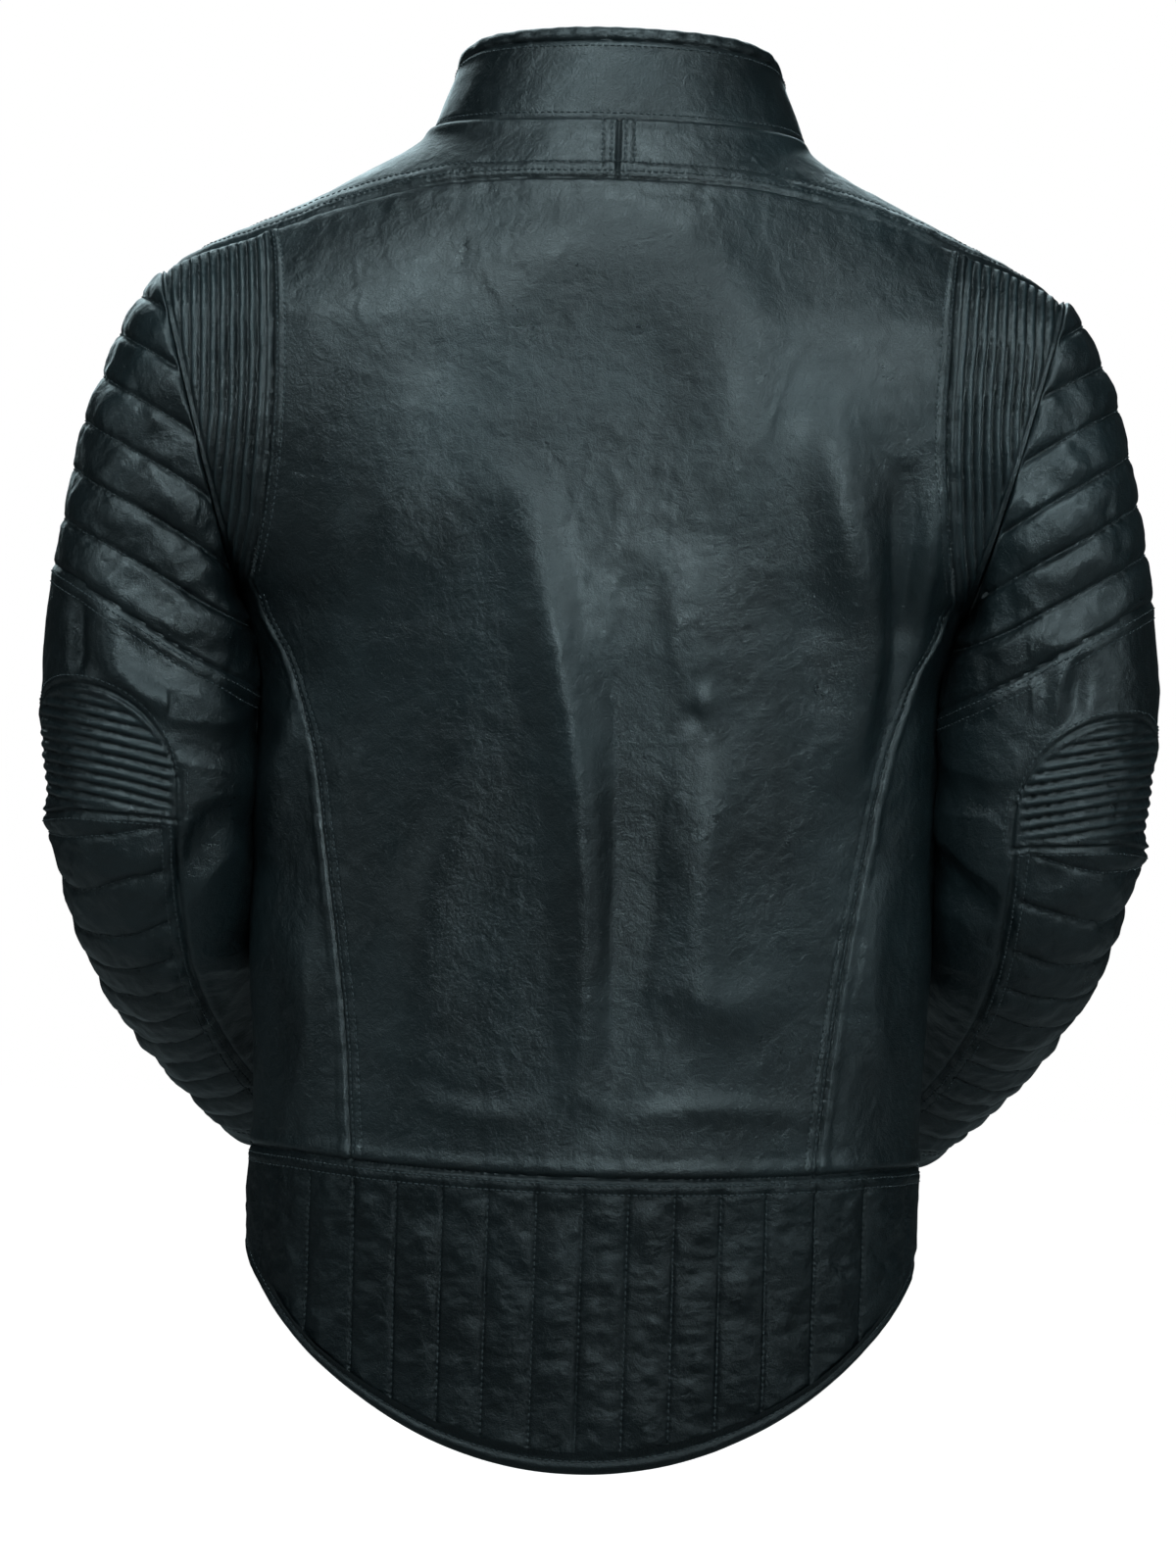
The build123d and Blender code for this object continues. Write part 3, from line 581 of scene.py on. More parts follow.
# Folds of the back panel: (x, z) line, width, height.
FOLDS = [
    ([(42, -195), (24, -270), (10, -330), (0, -420), (-2, -500)], 13, 4.2),
    ([(-18, -240), (-20, -330), (-16, -420), (-8, -510)], 14, -3.4),
    ([(-112, -150), (-124, -215), (-134, -280), (-128, -330)], 17, 5.2),
    ([(-150, -180), (-152, -260), (-140, -330)], 9, -3.0),
    ([(-168, -180), (-160, -250), (-150, -300)], 7, 2.2),
    ([(70, -90), (30, -70), (-30, -72), (-80, -100)], 34, 3.4),
    ([(90, -150), (120, -230), (128, -300)], 20, 2.4),
    ([(-40, -60), (-60, -140), (-70, -200)], 30, 2.2),
    ([(60, -330), (80, -400), (90, -480)], 16, 2.2),
    ([(-60, -330), (-50, -400), (-62, -470)], 14, 2.4),
    ([(-30, -436), (-62, -452), (-96, -446)], 13, 1.2),
    ([(-20, -507), (-70, -500), (-112, -504)], 7, 0.8),
    ([(20, -505), (50, -510), (84, -502)], 7, 0.7),
    ([(150, -300), (165, -340), (168, -380)], 9, 2.0),
    ([(-150, -380), (-140, -430), (-150, -480)], 10, 1.8),
    ([(150, -420), (140, -470), (150, -520)], 10, 1.6),
]
seam_free = step_up(np.abs(princess_d), 3, 12) * step_up(-above_yoke, 2, 14) * step_up(Z - waist_z, 2, 14)
soft = BACK * below * ~in_gusset * ~in_tail
folds = np.zeros(X.shape)
for points, width, height in FOLDS:
    folds += ridge(X, Z, points, width, 2.5 * height)
H += folds * soft * (0.35 + 0.65 * seam_free)
# The dimple in the back panel, and its raised rim.
H -= 2.0 * bump(np.hypot(X + 46, Z + 305), 5) * soft
H += 1.4 * bump(np.hypot(X + 54, Z + 297), 7) * soft

# Fronts: a slight drape from the shoulders, and a turned edge along the zip.
front_area = ~BACK & below
H += front_area * (1.6 * np.sin(AX / 21 + Z / 160) * step_up(-Z, 150, 400))
edge_d = AX - ZIP_GAP
H += front_area * (0.9 * bump(edge_d - 3, 3) - 0.5 * bump(edge_d - EDGE_STITCH, 1.2))

# The sides under the arm, and the edge that the sleeve sits on.
H = H * step_up(np.abs(arm_d) + low_down * 9, 0.0, 1.2)
from_side = np.abs(tau) - math.pi / 2
H += 2.4 * bump(from_side, 0.35) * step_up(-Z, -ARMPIT_Z, 285) * (1 - step_up(-Z, 430, 520))
H -= 2.5 * step_up(arm_d, 0.5, 4.5) * ~low_down
H += 5.0 * bump(from_side, 0.42) * bump(Z - ARMPIT_Z, 13)

DEEPEST = -3.4  # the leather never dips into the pads behind it
EASE = 1.5
H = np.where(H < DEEPEST + EASE, DEEPEST + EASE * np.exp((H - DEEPEST - EASE) / EASE), H)
TORSO_PTS = P + NORMAL * H[..., None]


def carried(a):
    """A field of the grid, carried on over its turned edges."""
    return np.pad(a, ((EDGE_ROWS, 0), (EDGE_ROWS, EDGE_ROWS)), mode="edge")


side_n = np.pad(NORMAL, ((0, 0), (EDGE_ROWS, EDGE_ROWS), (0, 0)), mode="edge")
SHELL = turned_edge(TORSO_PTS.transpose(1, 0, 2), NORMAL.transpose(1, 0, 2))
SHELL = turned_edge(SHELL[::-1], NORMAL.transpose(1, 0, 2)[::-1])[::-1].transpose(1, 0, 2)
SHELL = turned_edge(SHELL, side_n)


def centre(a):
    """Values for the middle of each quad."""
    return (a[:-1, :-1] + a[1:, 1:] + a[:-1, 1:] + a[1:, :-1]) / 4


# The same regions as above, for the middle of each quad.
cx, cz = centre(carried(X)), centre(carried(Z))
acx = np.abs(cx)
cback = np.abs(centre(carried(tau))) < math.pi / 2
cyoke = centre(carried(above_yoke)) > 0
inside_body = (acx < armhole_x(cz) + 5.0) | (cz < ARMPIT_Z)
cgusset = cback & ~cyoke & (acx > GUSSET_X(cz)) & (cz > ARMPIT_Z)
ctail = cback & (cz < centre(carried(waist_z)))
cside = cback & ~cyoke & ~cgusset & ~ctail & (acx > PRINCESS_X(cz)) & (cz < -240)
cpanel = cback & ~cyoke & ~cgusset & ~ctail & ~cside
left, right = cx > 0, cx < 0
PANELS = [
    ("yoke_left", cyoke & left), ("yoke_right", cyoke & right),
    ("shoulder_gusset_left", cgusset & left), ("shoulder_gusset_right", cgusset & right),
    ("side_panel_left", cside & left), ("side_panel_right", cside & right),
    ("back_panel", cpanel), ("tail_panel", ctail),
    ("front_panel_left", ~cback & ~cyoke & left), ("front_panel_right", ~cback & ~cyoke & right),
]
for name, keep in PANELS:
    piece = mesh_from_grid(f"skin_{name}", SHELL, keep & inside_body, carried(crest_and_valley_shade))
    dress(piece, TAIL if name == "tail_panel" else LEATHER, "leather", name)

# Topstitching of the torso.
body_area = (arm_d < -2) | low_down
halves = (X > 0, X < 0)
sewn = []


def sew(field, level, mask, by_row=False):
    sewn.append(iso_line(field, level, mask, TORSO_PTS, NORMAL, by_row))


for line in STITCH_LINES:
    sew(yoke_d, line, BACK & body_area)
    sew(Z - waist_z, -line, BACK)
    for half in halves:
        sew(gusset_d, -line, half & BACK & below & (Z > -238), True)
        sew(princess_d, -line, half & BACK & (Z < -246) & (Z > waist_z + 2), True)
        sew(AX, line, half & BACK & (above_yoke > 9), True)
        sew(yoke_d, line, half & ~BACK & body_area)
sew(hem_d, HEM_STITCH, np.ones(X.shape, bool))
for half in halves:
    sew(edge_d, EDGE_STITCH, half & ~BACK & (hem_d > 9), True)
for line in CHANNELS:
    sew(X, float(line), in_tail & (waist_z - Z > 9) & (hem_d > 11), True)
dress(stitches("stitching_body", sewn), THREAD, "leather")


# ------------ sleeves
SLEEVE_ROWS = 430
SLEEVE_COLS = 300
GUSSET_PHI = math.radians(48)  # middle of the elbow gusset, from the outer side towards the back
GUSSET_SPAN = math.radians(63)
CUFF_BAND = 24.0
CAP_SLOPE = 0.6
ROLL = 23.5  # pitch of the padded rolls on the sleeve cap
LANE = 21.5  # pitch of the channels across the forearm
LINING_INSET = 6.5
PAD_ROOM = 8.5


def ring_frame(direction):
    """Directions along the sleeve and out of it."""
    along = unit(np.array(direction, float))
    out = np.array([0, 0, 1.0]) if along[0] > 0.6 else np.array([1.0, 0, 0])
    return along, unit(out - along * (out @ along))


def armhole_edge(count):
    """Heights along the armhole, and the depths of the torso's cut edge there, behind and before."""
    z = np.linspace(ARMPIT_Z, SHOULDER_Z, count)
    inside = np.clip(1 - (armhole_x(z) / HALF_WIDTH(z)) ** 2, 0, 1) ** 0.5
    middle, reach = (BACK_Y(z) + FRONT_Y(z)) / 2, (BACK_Y(z) - FRONT_Y(z)) / 2
    return z, middle + reach * inside, middle - reach * inside


def sleeve_base(rows, cols, inset=0.0):
    """Base points of the left sleeve, armhole (row 0) to cuff, with lengths along it and angles round it."""
    centres = np.array([section[0] for section in SLEEVE], float)
    length = np.concatenate([[0], np.cumsum(np.linalg.norm(np.diff(centres, axis=0), axis=1))])
    frames = [ring_frame(section[1]) for section in SLEEVE]
    s = np.linspace(0, length[-1], rows)

    def track(values):
        values = np.array(values, float)
        return np.stack([smooth(list(zip(length, values[:, k])))(s) for k in range(values.shape[1])], axis=-1)

    c = track(centres)
    n = unit(track([f[0] for f in frames]))
    e1 = track([f[1] for f in frames])
    e1 = unit(e1 - n * np.sum(e1 * n, axis=-1, keepdims=True))
    e2 = np.cross(e1, n)
    radii = track([section[2:] for section in SLEEVE]) - inset
    phi = np.linspace(0, 2 * math.pi, cols, endpoint=False)
    cos, sin = np.cos(phi), np.sin(phi)
    Q = (c[:, None] + e1[:, None] * (radii[:, 0, None] * cos)[..., None]
         + e2[:, None] * (radii[:, 1, None] * sin)[..., None])
    low, high = ARMPIT_Z + 4.5, SHOULDER_Z - 1.5
    ring_z = (low + high) / 2 + (high - low) / 2 * cos
    z, behind, before = armhole_edge(400)
    ring_y = np.where(sin >= 0, np.interp(ring_z, z, behind), np.interp(ring_z, z, before))
    ring = np.stack([armhole_x(ring_z), ring_y, ring_z], axis=-1)
    middle = ring.mean(axis=0)
    ring = middle + (ring - middle) * (1 - inset / 80)
    # The first part of the sleeve grows out of the armhole's edge.
    outer_share = (0.5 + 0.5 * cos)[None, :, None]
    lead = n[0] * outer_share + np.array([-0.05, 0, -1.0]) * (1 - outer_share)
    start = ring[None] + lead * s[:, None, None] * 0.35
    w = 1 - step_up(s / length[-1], 0.0, 0.30)[:, None, None]
    base = Q + 0.55 * w * (start - Q)
    near = 1 - step_up(s, 0.0, 40.0)[:, None, None]
    return base * (1 - near) + start * near, s, phi


# Folds of the left (1) and right (-1) sleeve: (x, z) line, width, height.
SLEEVE_FOLDS = {
    1: [
        ([(252, -258), (251, -280), (238, -300), (212, -309), (192, -316)], 8, 4.4),
        ([(268, -250), (266, -275), (268, -300)], 4, -2.2),
        ([(206, -414), (196, -392), (188, -372)], 8, 4.2),
        ([(212, -398), (204, -380), (196, -352)], 7, -2.6),
        ([(200, -270), (188, -290), (182, -320)], 8, -3.0),
        ([(226, -330), (208, -345), (190, -340)], 8, 2.6),
        ([(212, -440), (190, -436), (176, -428)], 5, 2.2),
    ],
    -1: [
        ([(214, -262), (216, -285), (212, -306)], 9, 3.6),
        ([(236, -250), (234, -275), (232, -300)], 4.5, 3.0),
        ([(244, -262), (243, -285), (240, -305)], 5, -2.4),
        ([(214, -330), (200, -316), (186, -320)], 9, 3.4),
        ([(222, -392), (206, -368), (192, -352)], 9, 4.2),
        ([(206, -402), (192, -384), (184, -366)], 7, -2.8),
        ([(214, -428), (196, -420), (178, -418)], 5, 2.4),
    ],
}


def build_sleeve(side):
    """All pieces of one sleeve: shaped on the left, and mirrored for the right."""
    name = "left" if side > 0 else "right"
    mirror = np.array([side, 1, 1])
    Q, s, phi = sleeve_base(SLEEVE_ROWS, SLEEVE_COLS)
    N = normals_of(Q, closed=True)
    x, y, z = Q[..., 0], Q[..., 1], Q[..., 2]
    where = Q * mirror
    S = np.broadcast_to(s[:, None], x.shape)
    total = s[-1]
    around = np.angle(np.exp(1j * (phi - GUSSET_PHI)))
    psi = np.broadcast_to((around / GUSSET_SPAN)[None, :], x.shape)
    apsi = np.abs(psi)
    turn = np.broadcast_to(phi[None, :], x.shape)
    on_back = np.sin(turn) > -0.2

    h = 1.1 * noise(where, 60, 11, 2) + 0.6 * noise(where, 20, 12, 3)
    wrinkle = 1 - np.abs(noise(where, 28, 13, 3))
    h += 0.3 * step_up(wrinkle, 0.7, 1.0)
    # Crest attribute for the leather's colour: lighter on rib tops, painted shade in rib valleys.
    crest_and_valley_shade = np.zeros(x.shape)

    # Padded rolls of the cap, above its slanting lower seam.
    q = (z - (-295 + CAP_SLOPE * (x - 185))) * 0.857
    bend = q + 3.0 * noise(where, 70, 14, 1)
    cap = step_up(q, 0.5, 6.0) * (S < 200)
    roll = np.abs(np.sin(math.pi * bend / ROLL)) ** 0.5
    fade = step_up(S, 2, 12)
    soft = 0.8 + 0.5 * noise(where, 22, 15, 2)
    edge_on = 0.42 + 0.58 * np.abs(np.sin(turn))
    h += cap * fade * edge_on * (5.4 * roll * soft - 3.2)
    groove = np.abs((bend / ROLL + 0.5) % 1.0 - 0.5) * ROLL
    h -= cap * fade * 1.3 * edge_on * bump(groove, 1.6)
    h += cap * fade * 0.9 * noise(where, 8, 16, 2) * bump(groove, 8)
    seam_zone = (S < 210) & (z > -330)
    h += np.where(seam_zone, seam(q, x + y, (-1,), 2.0, 1.0), 0) * edge_on
    h = h * step_up(S, 0.0, 7.0) - 2.2 * bump(S, 3.0)

    # Ribbed elbow gusset, rounded at its two ends.
    arch = np.clip(1 - apsi**2.2, 0, 1) ** 0.6
    top = -345 + 46 * arch
    foot = -361 - 3 * apsi
    end = (1 - apsi) * 61
    d_gusset = np.minimum(np.minimum((top - z) * 0.9, z - foot), end)
    d_gusset = np.where((S > 60) & (z > -420), d_gusset, -50)
    gusset = d_gusset > 0
    phase = (z - 0.2 * (x - 235)) / 5.7
    rib = np.abs(np.sin(math.pi * phase)) ** 0.7
    rib_in = step_up(d_gusset, 1.5, 5.0)
    h += rib_in * edge_on * (4.2 * rib * (0.9 + 0.2 * noise(where, 20, 17, 2)) - 2.3)
    # Crest attribute: lighter colour on the rib tops, and painted shade darkening the valleys between the
    # ribs.
    crest_and_valley_shade += rib_in * (1.0 * rib**5 * (0.8 + 0.4 * noise(where, 12, 18, 2)) - 0.6 * (1 - rib))
    h += 1.6 * bump(d_gusset - 1.0, 1.5) - 1.6 * bump(d_gusset + 1.4, 1.1) + 0.8 * bump(d_gusset + 4.5, 2.4)
    h -= 0.5 * bump(d_gusset + GUSSET_STITCH, 0.9) * (0.65 + 0.35 * np.cos(2 * math.pi * (x + z) / 3.2))

    # Padded outer half of the forearm, with channels across it, and its seam.
    quilt = (apsi < 1) & (z < foot) & (S < total - CUFF_BAND)
    lane = (S + 10 * psi + 2.5 * noise(where, 40, 19, 1)) / LANE
    pad = np.abs(np.sin(math.pi * lane)) ** 0.55
    lane_gap = np.abs((lane + 0.5) % 1.0 - 0.5) * LANE
    area = quilt * step_up(end, 3, 9) * step_up(foot - z, 2, 7)
    h += area * edge_on * (3.4 * pad * (0.8 + 0.5 * noise(where, 18, 20, 2)) - 1.2)
    h -= area * 0.9 * edge_on * bump(lane_gap, 1.4)
    h += area * 0.6 * noise(where, 8, 21, 2)
    below_gusset = step_up(foot - z, -2, 2) * (S < total - CUFF_BAND) * (S > 120)
    h += below_gusset * seam(end, S, (1,), 1.8, 0.8)
    h += 3.0 * bump(np.hypot(z + 368, (turn - 0.15) * 50), 9)
    cuff_d = S - (total - CUFF_BAND)
    h += seam(cuff_d, turn * 44, (1,), 1.4, 0.7)
    h += 0.9 * bump(total - S - 2.5, 2.5)

    # Folds of the plain panels.
    plain = (q < 0) & ~gusset & ~quilt
    calm = step_up(np.abs(d_gusset), 3, 10) * step_up(np.abs(q), 3, 10)
    total_folds = np.zeros(x.shape)
    for points, width, height in SLEEVE_FOLDS[side]:
        total_folds += ridge(x, z, points, width, 1.35 * height)
    h += total_folds * plain * calm * on_back
    inner = step_up(-np.cos(turn), 0.1, 0.7)
    at_bend = step_up(S, 120, 150) * (1 - step_up(S, 230, 260)) * (q < 0)
    h += inner * 1.8 * np.sin(S / 9.0 + 2.0 * noise(where, 40, 22, 1)) * at_bend
    h = np.minimum(h, np.where(inner > 0.2, 1.6, 9.0))
    near_body = step_up(-z, 246, 262) * (1 - step_up(-z, 430, 490))
    h += 7.5 * step_up(-np.cos(turn), 0.2, 0.85) * near_body

    D = Q + N * h[..., None]
    # The inner side of the sleeve lies against the body.
    back, front = BACK_Y(D[..., 2]), FRONT_Y(D[..., 2])
    off_middle = (D[..., 1] - (back + front) / 2) / ((back - front) / 2)
    beside = HALF_WIDTH(D[..., 2]) * np.sqrt(np.clip(1 - off_middle**2, 0, 1)) + 2.9
    D[..., 0] = np.where(D[..., 2] < ARMPIT_Z, np.maximum(D[..., 0], beside), D[..., 0])

    # Topstitching of the sleeve.
    lines = []

    def sew_sleeve(field, level, mask, by_row=False):
        lines.append(iso_line(field, level, mask, D * mirror, N * mirror, by_row))

    halves = [np.broadcast_to(half[None, :], x.shape) for half in (around > 0, around < 0)]
    for line in STITCH_LINES:
        sew_sleeve(q, -line, seam_zone & (S > 6))
        sew_sleeve(S, total - CUFF_BAND + line, S > 200)
        for half in halves:
            sew_sleeve(end, line, half & (below_gusset > 0.5), True)
    around_gusset = (S > 60) & (z > -420)
    sew_sleeve(d_gusset, -GUSSET_STITCH, around_gusset & (z > -352) & (apsi < 0.86))
    for half in halves:
        sew_sleeve(d_gusset, -GUSSET_STITCH, around_gusset & half & (apsi > 0.86) & (z > foot), True)
    sew_sleeve(d_gusset, -GUSSET_STITCH, around_gusset & (z < -352) & (apsi < 0.98))
    for k in range(1, 10):
        sew_sleeve(bend, k * ROLL, (cap > 0.5) & (S > 10))
    for k in range(1, 20):
        sew_sleeve(lane, float(k), area > 0.5)

    # The cuff's edge turns in, and runs back up inside.
    edge, edge_n = D[-1:], N[-1:]
    along = unit(Q[-1:] - Q[-2:-1])
    turned = round_edge(edge, along, edge_n)
    turned += [edge - along * back - edge_n * 2.8 for back in (4, 10, 18)]
    D = np.concatenate([D, *turned]) * mirror
    rows = D.shape[0]
    crest_and_valley_shade = np.concatenate([crest_and_valley_shade, np.zeros((rows - crest_and_valley_shade.shape[0], crest_and_valley_shade.shape[1]))])

    thread = dress(stitches(f"stitching_sleeve_{name}", lines), THREAD, "leather", body=None)
    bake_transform(thread)

    # The regions, for the middle of each quad.
    def mid(a):
        b = np.roll(a, -1, axis=1)
        m = (a[:-1] + a[1:] + b[:-1] + b[1:]) / 4
        return np.concatenate([m, np.repeat(m[-1:], rows - a.shape[0], axis=0)])

    ms, mq, mg, mf = mid(S), mid(q), mid(d_gusset), mid(foot - z)
    mp = np.abs(mid(np.where(apsi > 1.6, 2.0, apsi)))
    ms[SLEEVE_ROWS - 1:] = total
    is_cuff = ms > total - CUFF_BAND
    is_gusset = (mg > 0) & ~is_cuff
    is_cap = (mq > 0) & (ms < 200) & ~is_gusset
    is_upper = ~is_cap & ~is_gusset & (ms < 118)
    other = ~is_cap & ~is_gusset & ~is_upper & ~is_cuff
    is_quilt = other & (mp < 1) & (mf > 0)
    is_under = other & ~is_quilt & (ms > 190)
    is_inner = other & ~is_quilt & ~is_under
    for part, keep in (
        ("sleeve_cap", is_cap), ("upper_sleeve", is_upper), ("elbow_gusset", is_gusset),
        ("elbow_inner", is_inner), ("forearm_quilt", is_quilt), ("forearm_under", is_under),
        ("cuff_band", is_cuff),
    ):
        blended = part != "sleeve_cap"
        piece = mesh_from_grid(f"skin_{part}_{name}", D, keep, crest_and_valley_shade, flip=side < 0, wrap=True)
        dress(piece, LEATHER, "leather", f"{part}_{name}", body=None if blended else "jacket")
        if blended:
            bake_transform(piece)

    # The lining, which runs inside the pads.
    inside, s, phi = sleeve_base(120, 90, LINING_INSET)
    over_pad = step_up(np.cos(phi - 0.6), 0.0, 0.5)[None, :] * (1 - step_up(s, 250, 270))[:, None]
    inside = inside - normals_of(inside, closed=True) * (PAD_ROOM * over_pad)[..., None]
    inside = inside[2:-3] * mirror
    every = np.ones((len(inside) - 1, inside.shape[1]), bool)
    lining = mesh_from_grid(f"sleeve_lining_{name}", inside, every, flip=side > 0, wrap=True)
    dress(lining, LINING, "lining", body=None)
    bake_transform(lining)


for side in (1, -1):
    build_sleeve(side)

# ------------ collar
HALF_C, CENTRE_C, DEPTH_C = (smooth([(row[0], row[k]) for row in COLLAR]) for k in (1, 2, 3))
COLLAR_COLS = 460
COLLAR_GAP = 4.0
COLLAR_DROP = 7.6  # from the roll's top down to the leaf's edge
LEAF_ROWS = 40
ROLL_ROWS = 26
INNER_ROWS = 24
ROLL_RADIUS = 3.6


def collar_ring(tau, z):
    return np.stack([HALF_C(z) * np.sin(tau), CENTRE_C(z) + DEPTH_C(z) * np.cos(tau), z], axis=-1)


t = np.linspace(-1, 1, COLLAR_COLS)
tau_c = t * (math.pi - COLLAR_GAP / 90)
foot_z = np.zeros(COLLAR_COLS)
top_z = np.full(COLLAR_COLS, 40.0)
for _ in range(12):
    foot_z = 0.5 * foot_z + 0.5 * NECK(collar_ring(tau_c, foot_z)[:, 1])
    top_z = 0.5 * top_z + 0.5 * TOP(collar_ring(tau_c, top_z)[:, 1])
out_dir = collar_ring(tau_c, foot_z) - np.stack([0 * tau_c, CENTRE_C(foot_z), foot_z], axis=-1)
tilt = unit(out_dir) * 0.97 + np.array([0, 0, 0.24])
# Profile: share of the way up the leaf, extra height, and distance out from the leaf.
profile = [(v, -COLLAR_DROP * v, 0.0) for v in np.linspace(0, 1, LEAF_ROWS)]
for angle in np.linspace(-0.35, 1.35, ROLL_ROWS) * math.pi:
    profile.append((1.0, -3.9 + ROLL_RADIUS * 1.05 * math.sin(angle), -2.0 + ROLL_RADIUS * math.cos(angle)))
profile += [(v, -7.8 * v, -3.6) for v in np.linspace(1, 0.02, INNER_ROWS)]
rows = []
for v, extra, outwards in profile:
    z = foot_z + (top_z - foot_z) * v + extra
    rows.append(collar_ring(tau_c, z) + tilt * outwards)
C = np.array(rows)
row_number = np.arange(len(profile))[:, None]
outer_leaf = row_number < LEAF_ROWS
roll_rows = ~outer_leaf & (row_number < LEAF_ROWS + ROLL_ROWS)
edge_h = (top_z - foot_z)[None, :] - COLLAR_DROP
height_up = edge_h * np.array([p[0] for p in profile])[:, None]
lift = 0.55 * noise(C, 30, 31, 3) + 0.9 * noise(C, 70, 32, 2)
lift = lift + outer_leaf * (-0.45 * bump(height_up - STITCH_LINES[0], 0.9) - 0.8 * bump(height_up, 1.2))
lift = lift + outer_leaf * (-0.9 * bump(edge_h - height_up, 1.2) + 0.5 * bump(edge_h - height_up - 3, 2))
lift = lift + roll_rows * (0.5 * noise(C, 9, 33, 2) + 0.25 * np.sin(C[..., 0] / 1.6))
fade_ends = step_up(1 - np.abs(t), 0, 0.02)[None, :]
C = C + tilt[None] * (lift * fade_ends)[..., None]
quad_row = np.broadcast_to(row_number[:-1], (len(profile) - 1, COLLAR_COLS - 1))
on_leaf = quad_row < LEAF_ROWS - 1
on_lining = quad_row >= LEAF_ROWS + ROLL_ROWS
for name, keep, material, slot_name in (
    ("collar_outer", on_leaf, LEATHER, "leather"),
    ("collar_binding", ~on_leaf & ~on_lining, LEATHER, "leather"),
    ("collar_lining", on_lining, COLLAR_CLOTH, "collar_cloth"),
):
    piece = mesh_from_grid(f"skin_{name}", C, keep, np.zeros(C.shape[:2]))
    dress(piece, material, slot_name, name)

collar_n = np.broadcast_to(tilt[None], C.shape)
leaf = np.broadcast_to(outer_leaf, C.shape[:2])
sewn = [
    iso_line(height_up, STITCH_LINES[0], leaf, C, collar_n),
    iso_line(edge_h - height_up, 3.2, leaf, C, collar_n),
]
dress(stitches("stitching_collar", sewn), THREAD, "leather")

# ------------ pads, straps and tapes
def soften(node_name, voxel, relax, relief, material, slot_name, body="jacket"):
    """A softened copy of a solid: remeshed, its edges relaxed, and its surface moved by a relief."""
    piece = bpy.data.objects.new(f"soft_{node_name}", frame["nodes"][node_name].data.copy())
    bpy.context.collection.objects.link(piece)
    remesh = piece.modifiers.new("remesh", "REMESH")
    remesh.mode = "VOXEL"
    remesh.voxel_size = voxel * MM
    relaxed = piece.modifiers.new("relax", "SMOOTH")
    relaxed.factor = 0.5
    relaxed.iterations = relax
    bpy.context.view_layer.update()
    mesh = bpy.data.meshes.new_from_object(piece.evaluated_get(bpy.context.evaluated_depsgraph_get()))
    piece.modifiers.clear()
    piece.data = mesh
    count = len(mesh.vertices)
    co, normal = np.empty(count * 3, np.float32), np.empty(count * 3, np.float32)
    mesh.vertices.foreach_get("co", co)
    mesh.vertices.foreach_get("normal", normal)
    p = co.reshape(-1, 3) / MM
    p = p + normal.reshape(-1, 3) * relief(p)[:, None]
    mesh.vertices.foreach_set("co", (p * MM).astype(np.float32).ravel())
    mesh.polygons.foreach_set("use_smooth", np.ones(len(mesh.polygons), bool))
    mesh.update()
    dress(piece, material, slot_name, node_name, body=body)
    return piece


DIMPLE_ACROSS = 11.0
DIMPLE_UP = 9.5


def foam_relief(p):
    """Moulded foam: round dimples in staggered rows, and a soft uneven face."""
    across, up = p[:, 0] / DIMPLE_ACROSS, p[:, 2] / DIMPLE_UP
    row = np.round(up)
    cell = across + 0.5 * (row % 2)
    reach = np.hypot((cell - np.round(cell)) * DIMPLE_ACROSS, (up - row) * DIMPLE_UP)
    return 0.35 * noise(p, 18, 51, 2) - 1.3 * bump(reach, 1.9)


def hide_relief(p):
    return 0.28 * noise(p, 14, 52, 3)


def cloth_relief(p):
    return 0.22 * noise(p, 22, 53, 2) + 0.05 * np.sin(p[:, 2] / 0.32)


for side_name in ("left", "right"):
    soften(f"shoulder_armour_{side_name}", 1.7, 6, foam_relief, FOAM, "armour_foam")
    soften(f"elbow_armour_{side_name}", 1.5, 6, foam_relief, FOAM, "armour_foam", f"forearm_{side_name}")
    soften(f"pocket_welt_{side_name}", 0.35, 3, hide_relief, TRIM, "leather_trim")
soften("back_protector", 1.9, 6, foam_relief, FOAM, "armour_foam")
soften("pocket_bags", 0.8, 3, cloth_relief, LINING, "lining")
soften("storm_flap", 0.75, 3, hide_relief, TRIM, "leather_trim")
soften("hanger_loop", 0.4, 3, hide_relief, TRIM, "leather_trim")
soften("collar_tab", 0.5, 3, hide_relief, LEATHER, "leather", "tab")
soften("front_zip_tapes", 0.5, 2, cloth_relief, TAPE, "zip_tape")

# ------------ body lining
inner_P, inner_tau = torso_grid(150, 60, 30)
pad_x = step_up(98 - np.abs(inner_P[..., 0]), 0, 14)
pad_z = step_up(-inner_P[..., 2], 92, 112) * (1 - step_up(-inner_P[..., 2], 420, 440))
depth_in = 6.6 + 7.4 * pad_x * pad_z * (np.abs(inner_tau) < math.pi / 2) + 0.5 * noise(inner_P, 40, 41, 2)
inner_P = inner_P - normals_of(inner_P) * depth_in[..., None]
mx, mz = centre(inner_P[..., 0]), centre(inner_P[..., 2])
keep = (np.abs(mx) < armhole_x(mz) + 1) | (mz < ARMPIT_Z)
piece = mesh_from_grid("skin_body_lining", inner_P, keep, flip=True)
dress(piece, LINING, "lining", "body_lining")

# ------------ finishes of the CAD pieces that stay
FINISH = {
    "zip_metal": METAL, "snap_metal": SNAP, "zip_coil": COIL, "zip_tape": TAPE, "leather_trim": TRIM,
    "armour_foam": FOAM, "lining": LINING, "leather": LEATHER, "collar_cloth": COLLAR_CLOTH,
}
slot_of = {entry["node"]: entry["material_slot"] for entry in frame["record"]["subparts"]}
for name, obj in frame["nodes"].items():
    obj.data.materials.clear()
    obj.data.materials.append(FINISH[slot_of[name]])

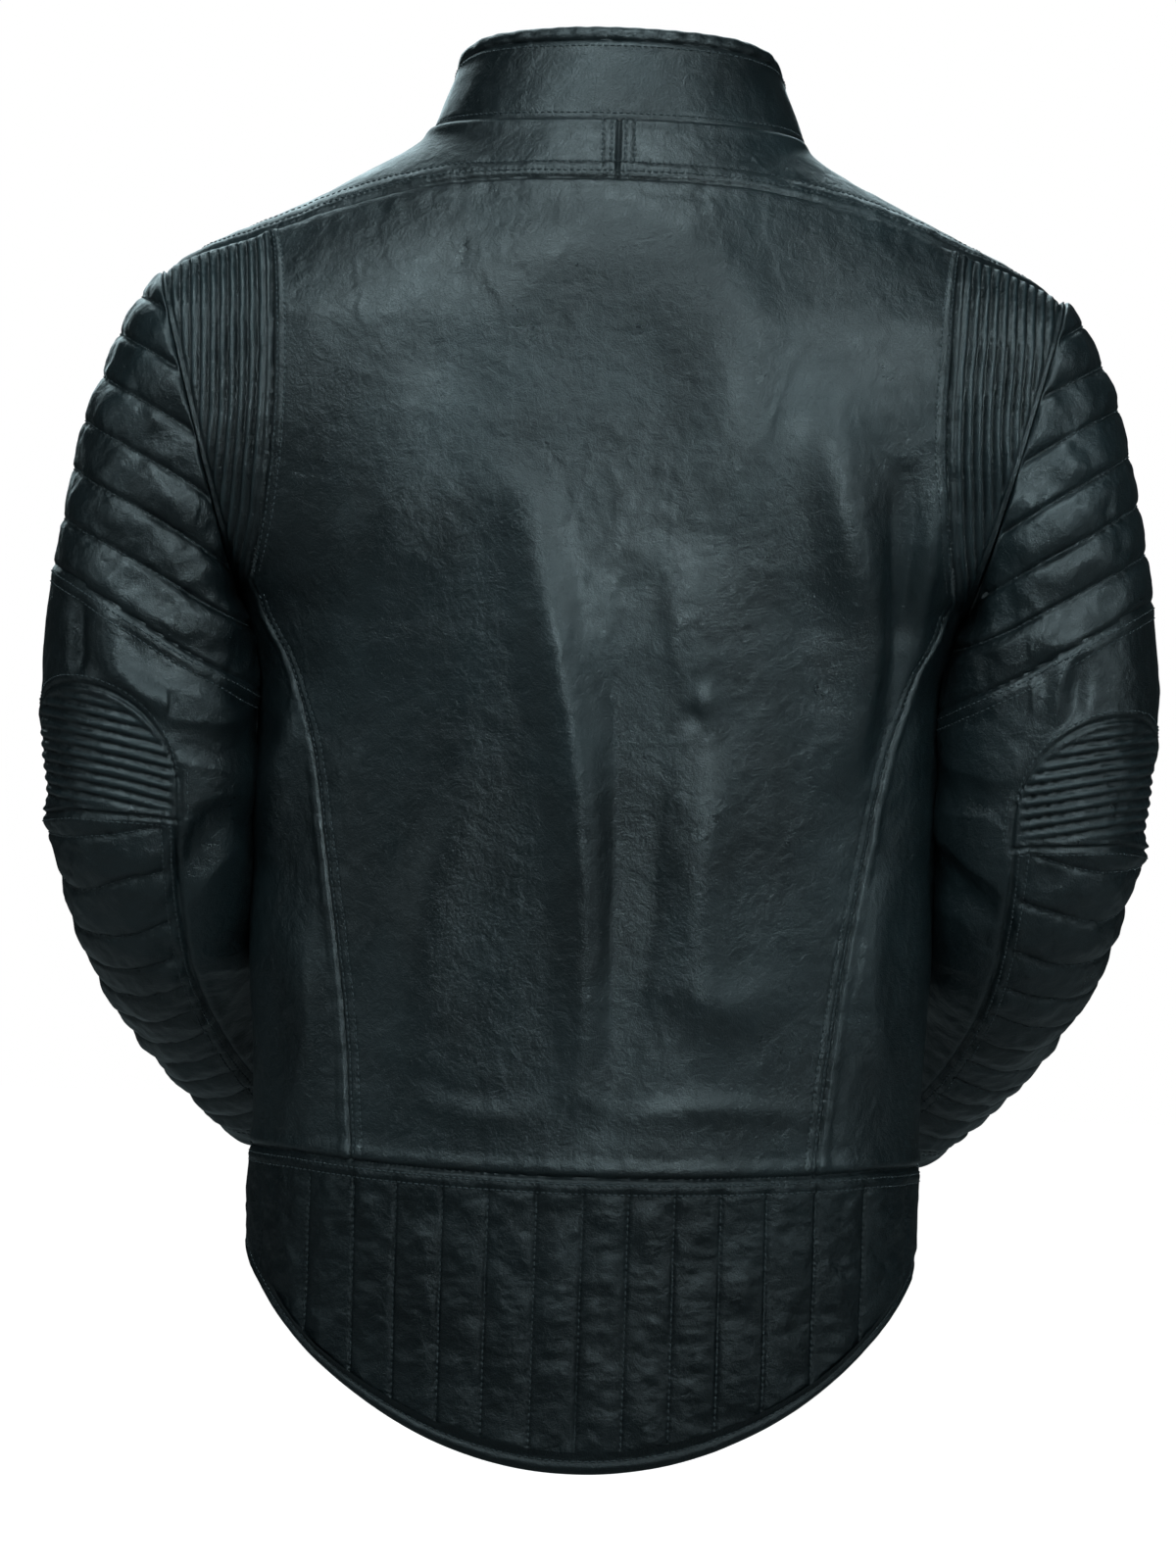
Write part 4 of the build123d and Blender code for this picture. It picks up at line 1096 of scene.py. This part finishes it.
# ------------ camera, light and floor
DISTANCE = 3.0
AIM = Vector((0.0045, 0.06, -0.340))
LEAN = math.radians(1.95)
camera_data = bpy.data.cameras.new("camera")
camera_data.lens = 135.0
camera_data.sensor_width = 36.0
camera = bpy.data.objects.new("camera", camera_data)
bpy.context.collection.objects.link(camera)
look = Matrix(((-1, 0, 0), (0, 0, 1), (0, 1, 0))).to_4x4()
stand = Matrix.Translation(AIM + Vector((0, DISTANCE, 0)))
camera.matrix_world = stand @ look @ Matrix.Rotation(LEAN, 4, "Z")
bpy.context.scene.camera = camera


TINT = (0.71, 0.93, 0.99)


def softbox(name, place, aim, size, power, spread=180):
    data = bpy.data.lights.new(name, "AREA")
    data.shape = "RECTANGLE"
    data.size, data.size_y = size
    data.energy = power
    data.color = TINT
    data.spread = math.radians(spread)
    obj = bpy.data.objects.new(name, data)
    bpy.context.collection.objects.link(obj)
    obj.location = place
    obj.rotation_euler = (Vector(aim) - Vector(place)).to_track_quat("-Z", "Y").to_euler()


softbox("key", (1.0, 1.9, 1.55), (0, 0, -0.12), (0.8, 0.9), 30)
softbox("fill", (-1.35, 1.9, 1.05), (-0.05, 0, -0.15), (0.6, 1.1), 19)
softbox("top", (0, 0.5, 1.9), (0, 0, -0.1), (1.1, 0.7), 20)
softbox("front", (0.3, -2.4, 1.0), (0, 0, -0.3), (2.0, 2.0), 30)
softbox("middle", (-0.6, 2.7, 0.15), (0.0, 0.1, -0.21), (0.7, 0.3), 0.8, 30)
softbox("side_left", (2.3, 0.9, 0.1), (0.2, 0, -0.35), (0.35, 1.3), 4.5)
softbox("side_right", (-2.3, 0.9, 0.1), (-0.2, 0, -0.35), (0.35, 1.3), 6.5)

floor_mesh = bpy.data.meshes.new("floor")
FLOOR_Z = -1.0
REACH = 9.0
floor_mesh.from_pydata(
    [(-REACH, -REACH, FLOOR_Z), (REACH, -REACH, FLOOR_Z), (REACH, REACH, FLOOR_Z), (-REACH, REACH, FLOOR_Z)],
    [], [(0, 1, 2, 3)],
)
floor = bpy.data.objects.new("floor", floor_mesh)
bpy.context.collection.objects.link(floor)
pale = bpy.data.materials.new("floor")
pale.use_nodes = True
floor_shader = pale.node_tree.nodes["Principled BSDF"]
floor_shader.inputs["Base Color"].default_value = (0.22, 0.22, 0.22, 1)
floor_shader.inputs["Roughness"].default_value = 0.9
floor_shader.inputs["Emission Color"].default_value = (1, 1, 1, 1)
seen = node(pale.node_tree, "ShaderNodeLightPath")
pale.node_tree.links.new(seen.outputs["Is Camera Ray"], floor_shader.inputs["Emission Strength"])
floor_mesh.materials.append(pale)

world = bpy.data.worlds.new("studio")
bpy.context.scene.world = world
world.use_nodes = True
# The camera sees a white world, and the jacket a faint tinted one.
sky = world.node_tree.nodes["Background"]
join = world.node_tree.links.new
ray = node(world.node_tree, "ShaderNodeLightPath").outputs["Is Camera Ray"]
hue = node(world.node_tree, "ShaderNodeMix", data_type="RGBA")
hue.inputs["A"].default_value = (*TINT, 1)
hue.inputs["B"].default_value = (1, 1, 1, 1)
join(ray, hue.inputs["Factor"])
join(hue.outputs["Result"], sky.inputs["Color"])
amount = node(world.node_tree, "ShaderNodeMapRange")
amount.inputs["To Min"].default_value = 0.03
amount.inputs["To Max"].default_value = 1.0
join(ray, amount.inputs["Value"])
join(amount.outputs["Result"], sky.inputs["Strength"])
bpy.context.scene.view_settings.view_transform = "Standard"
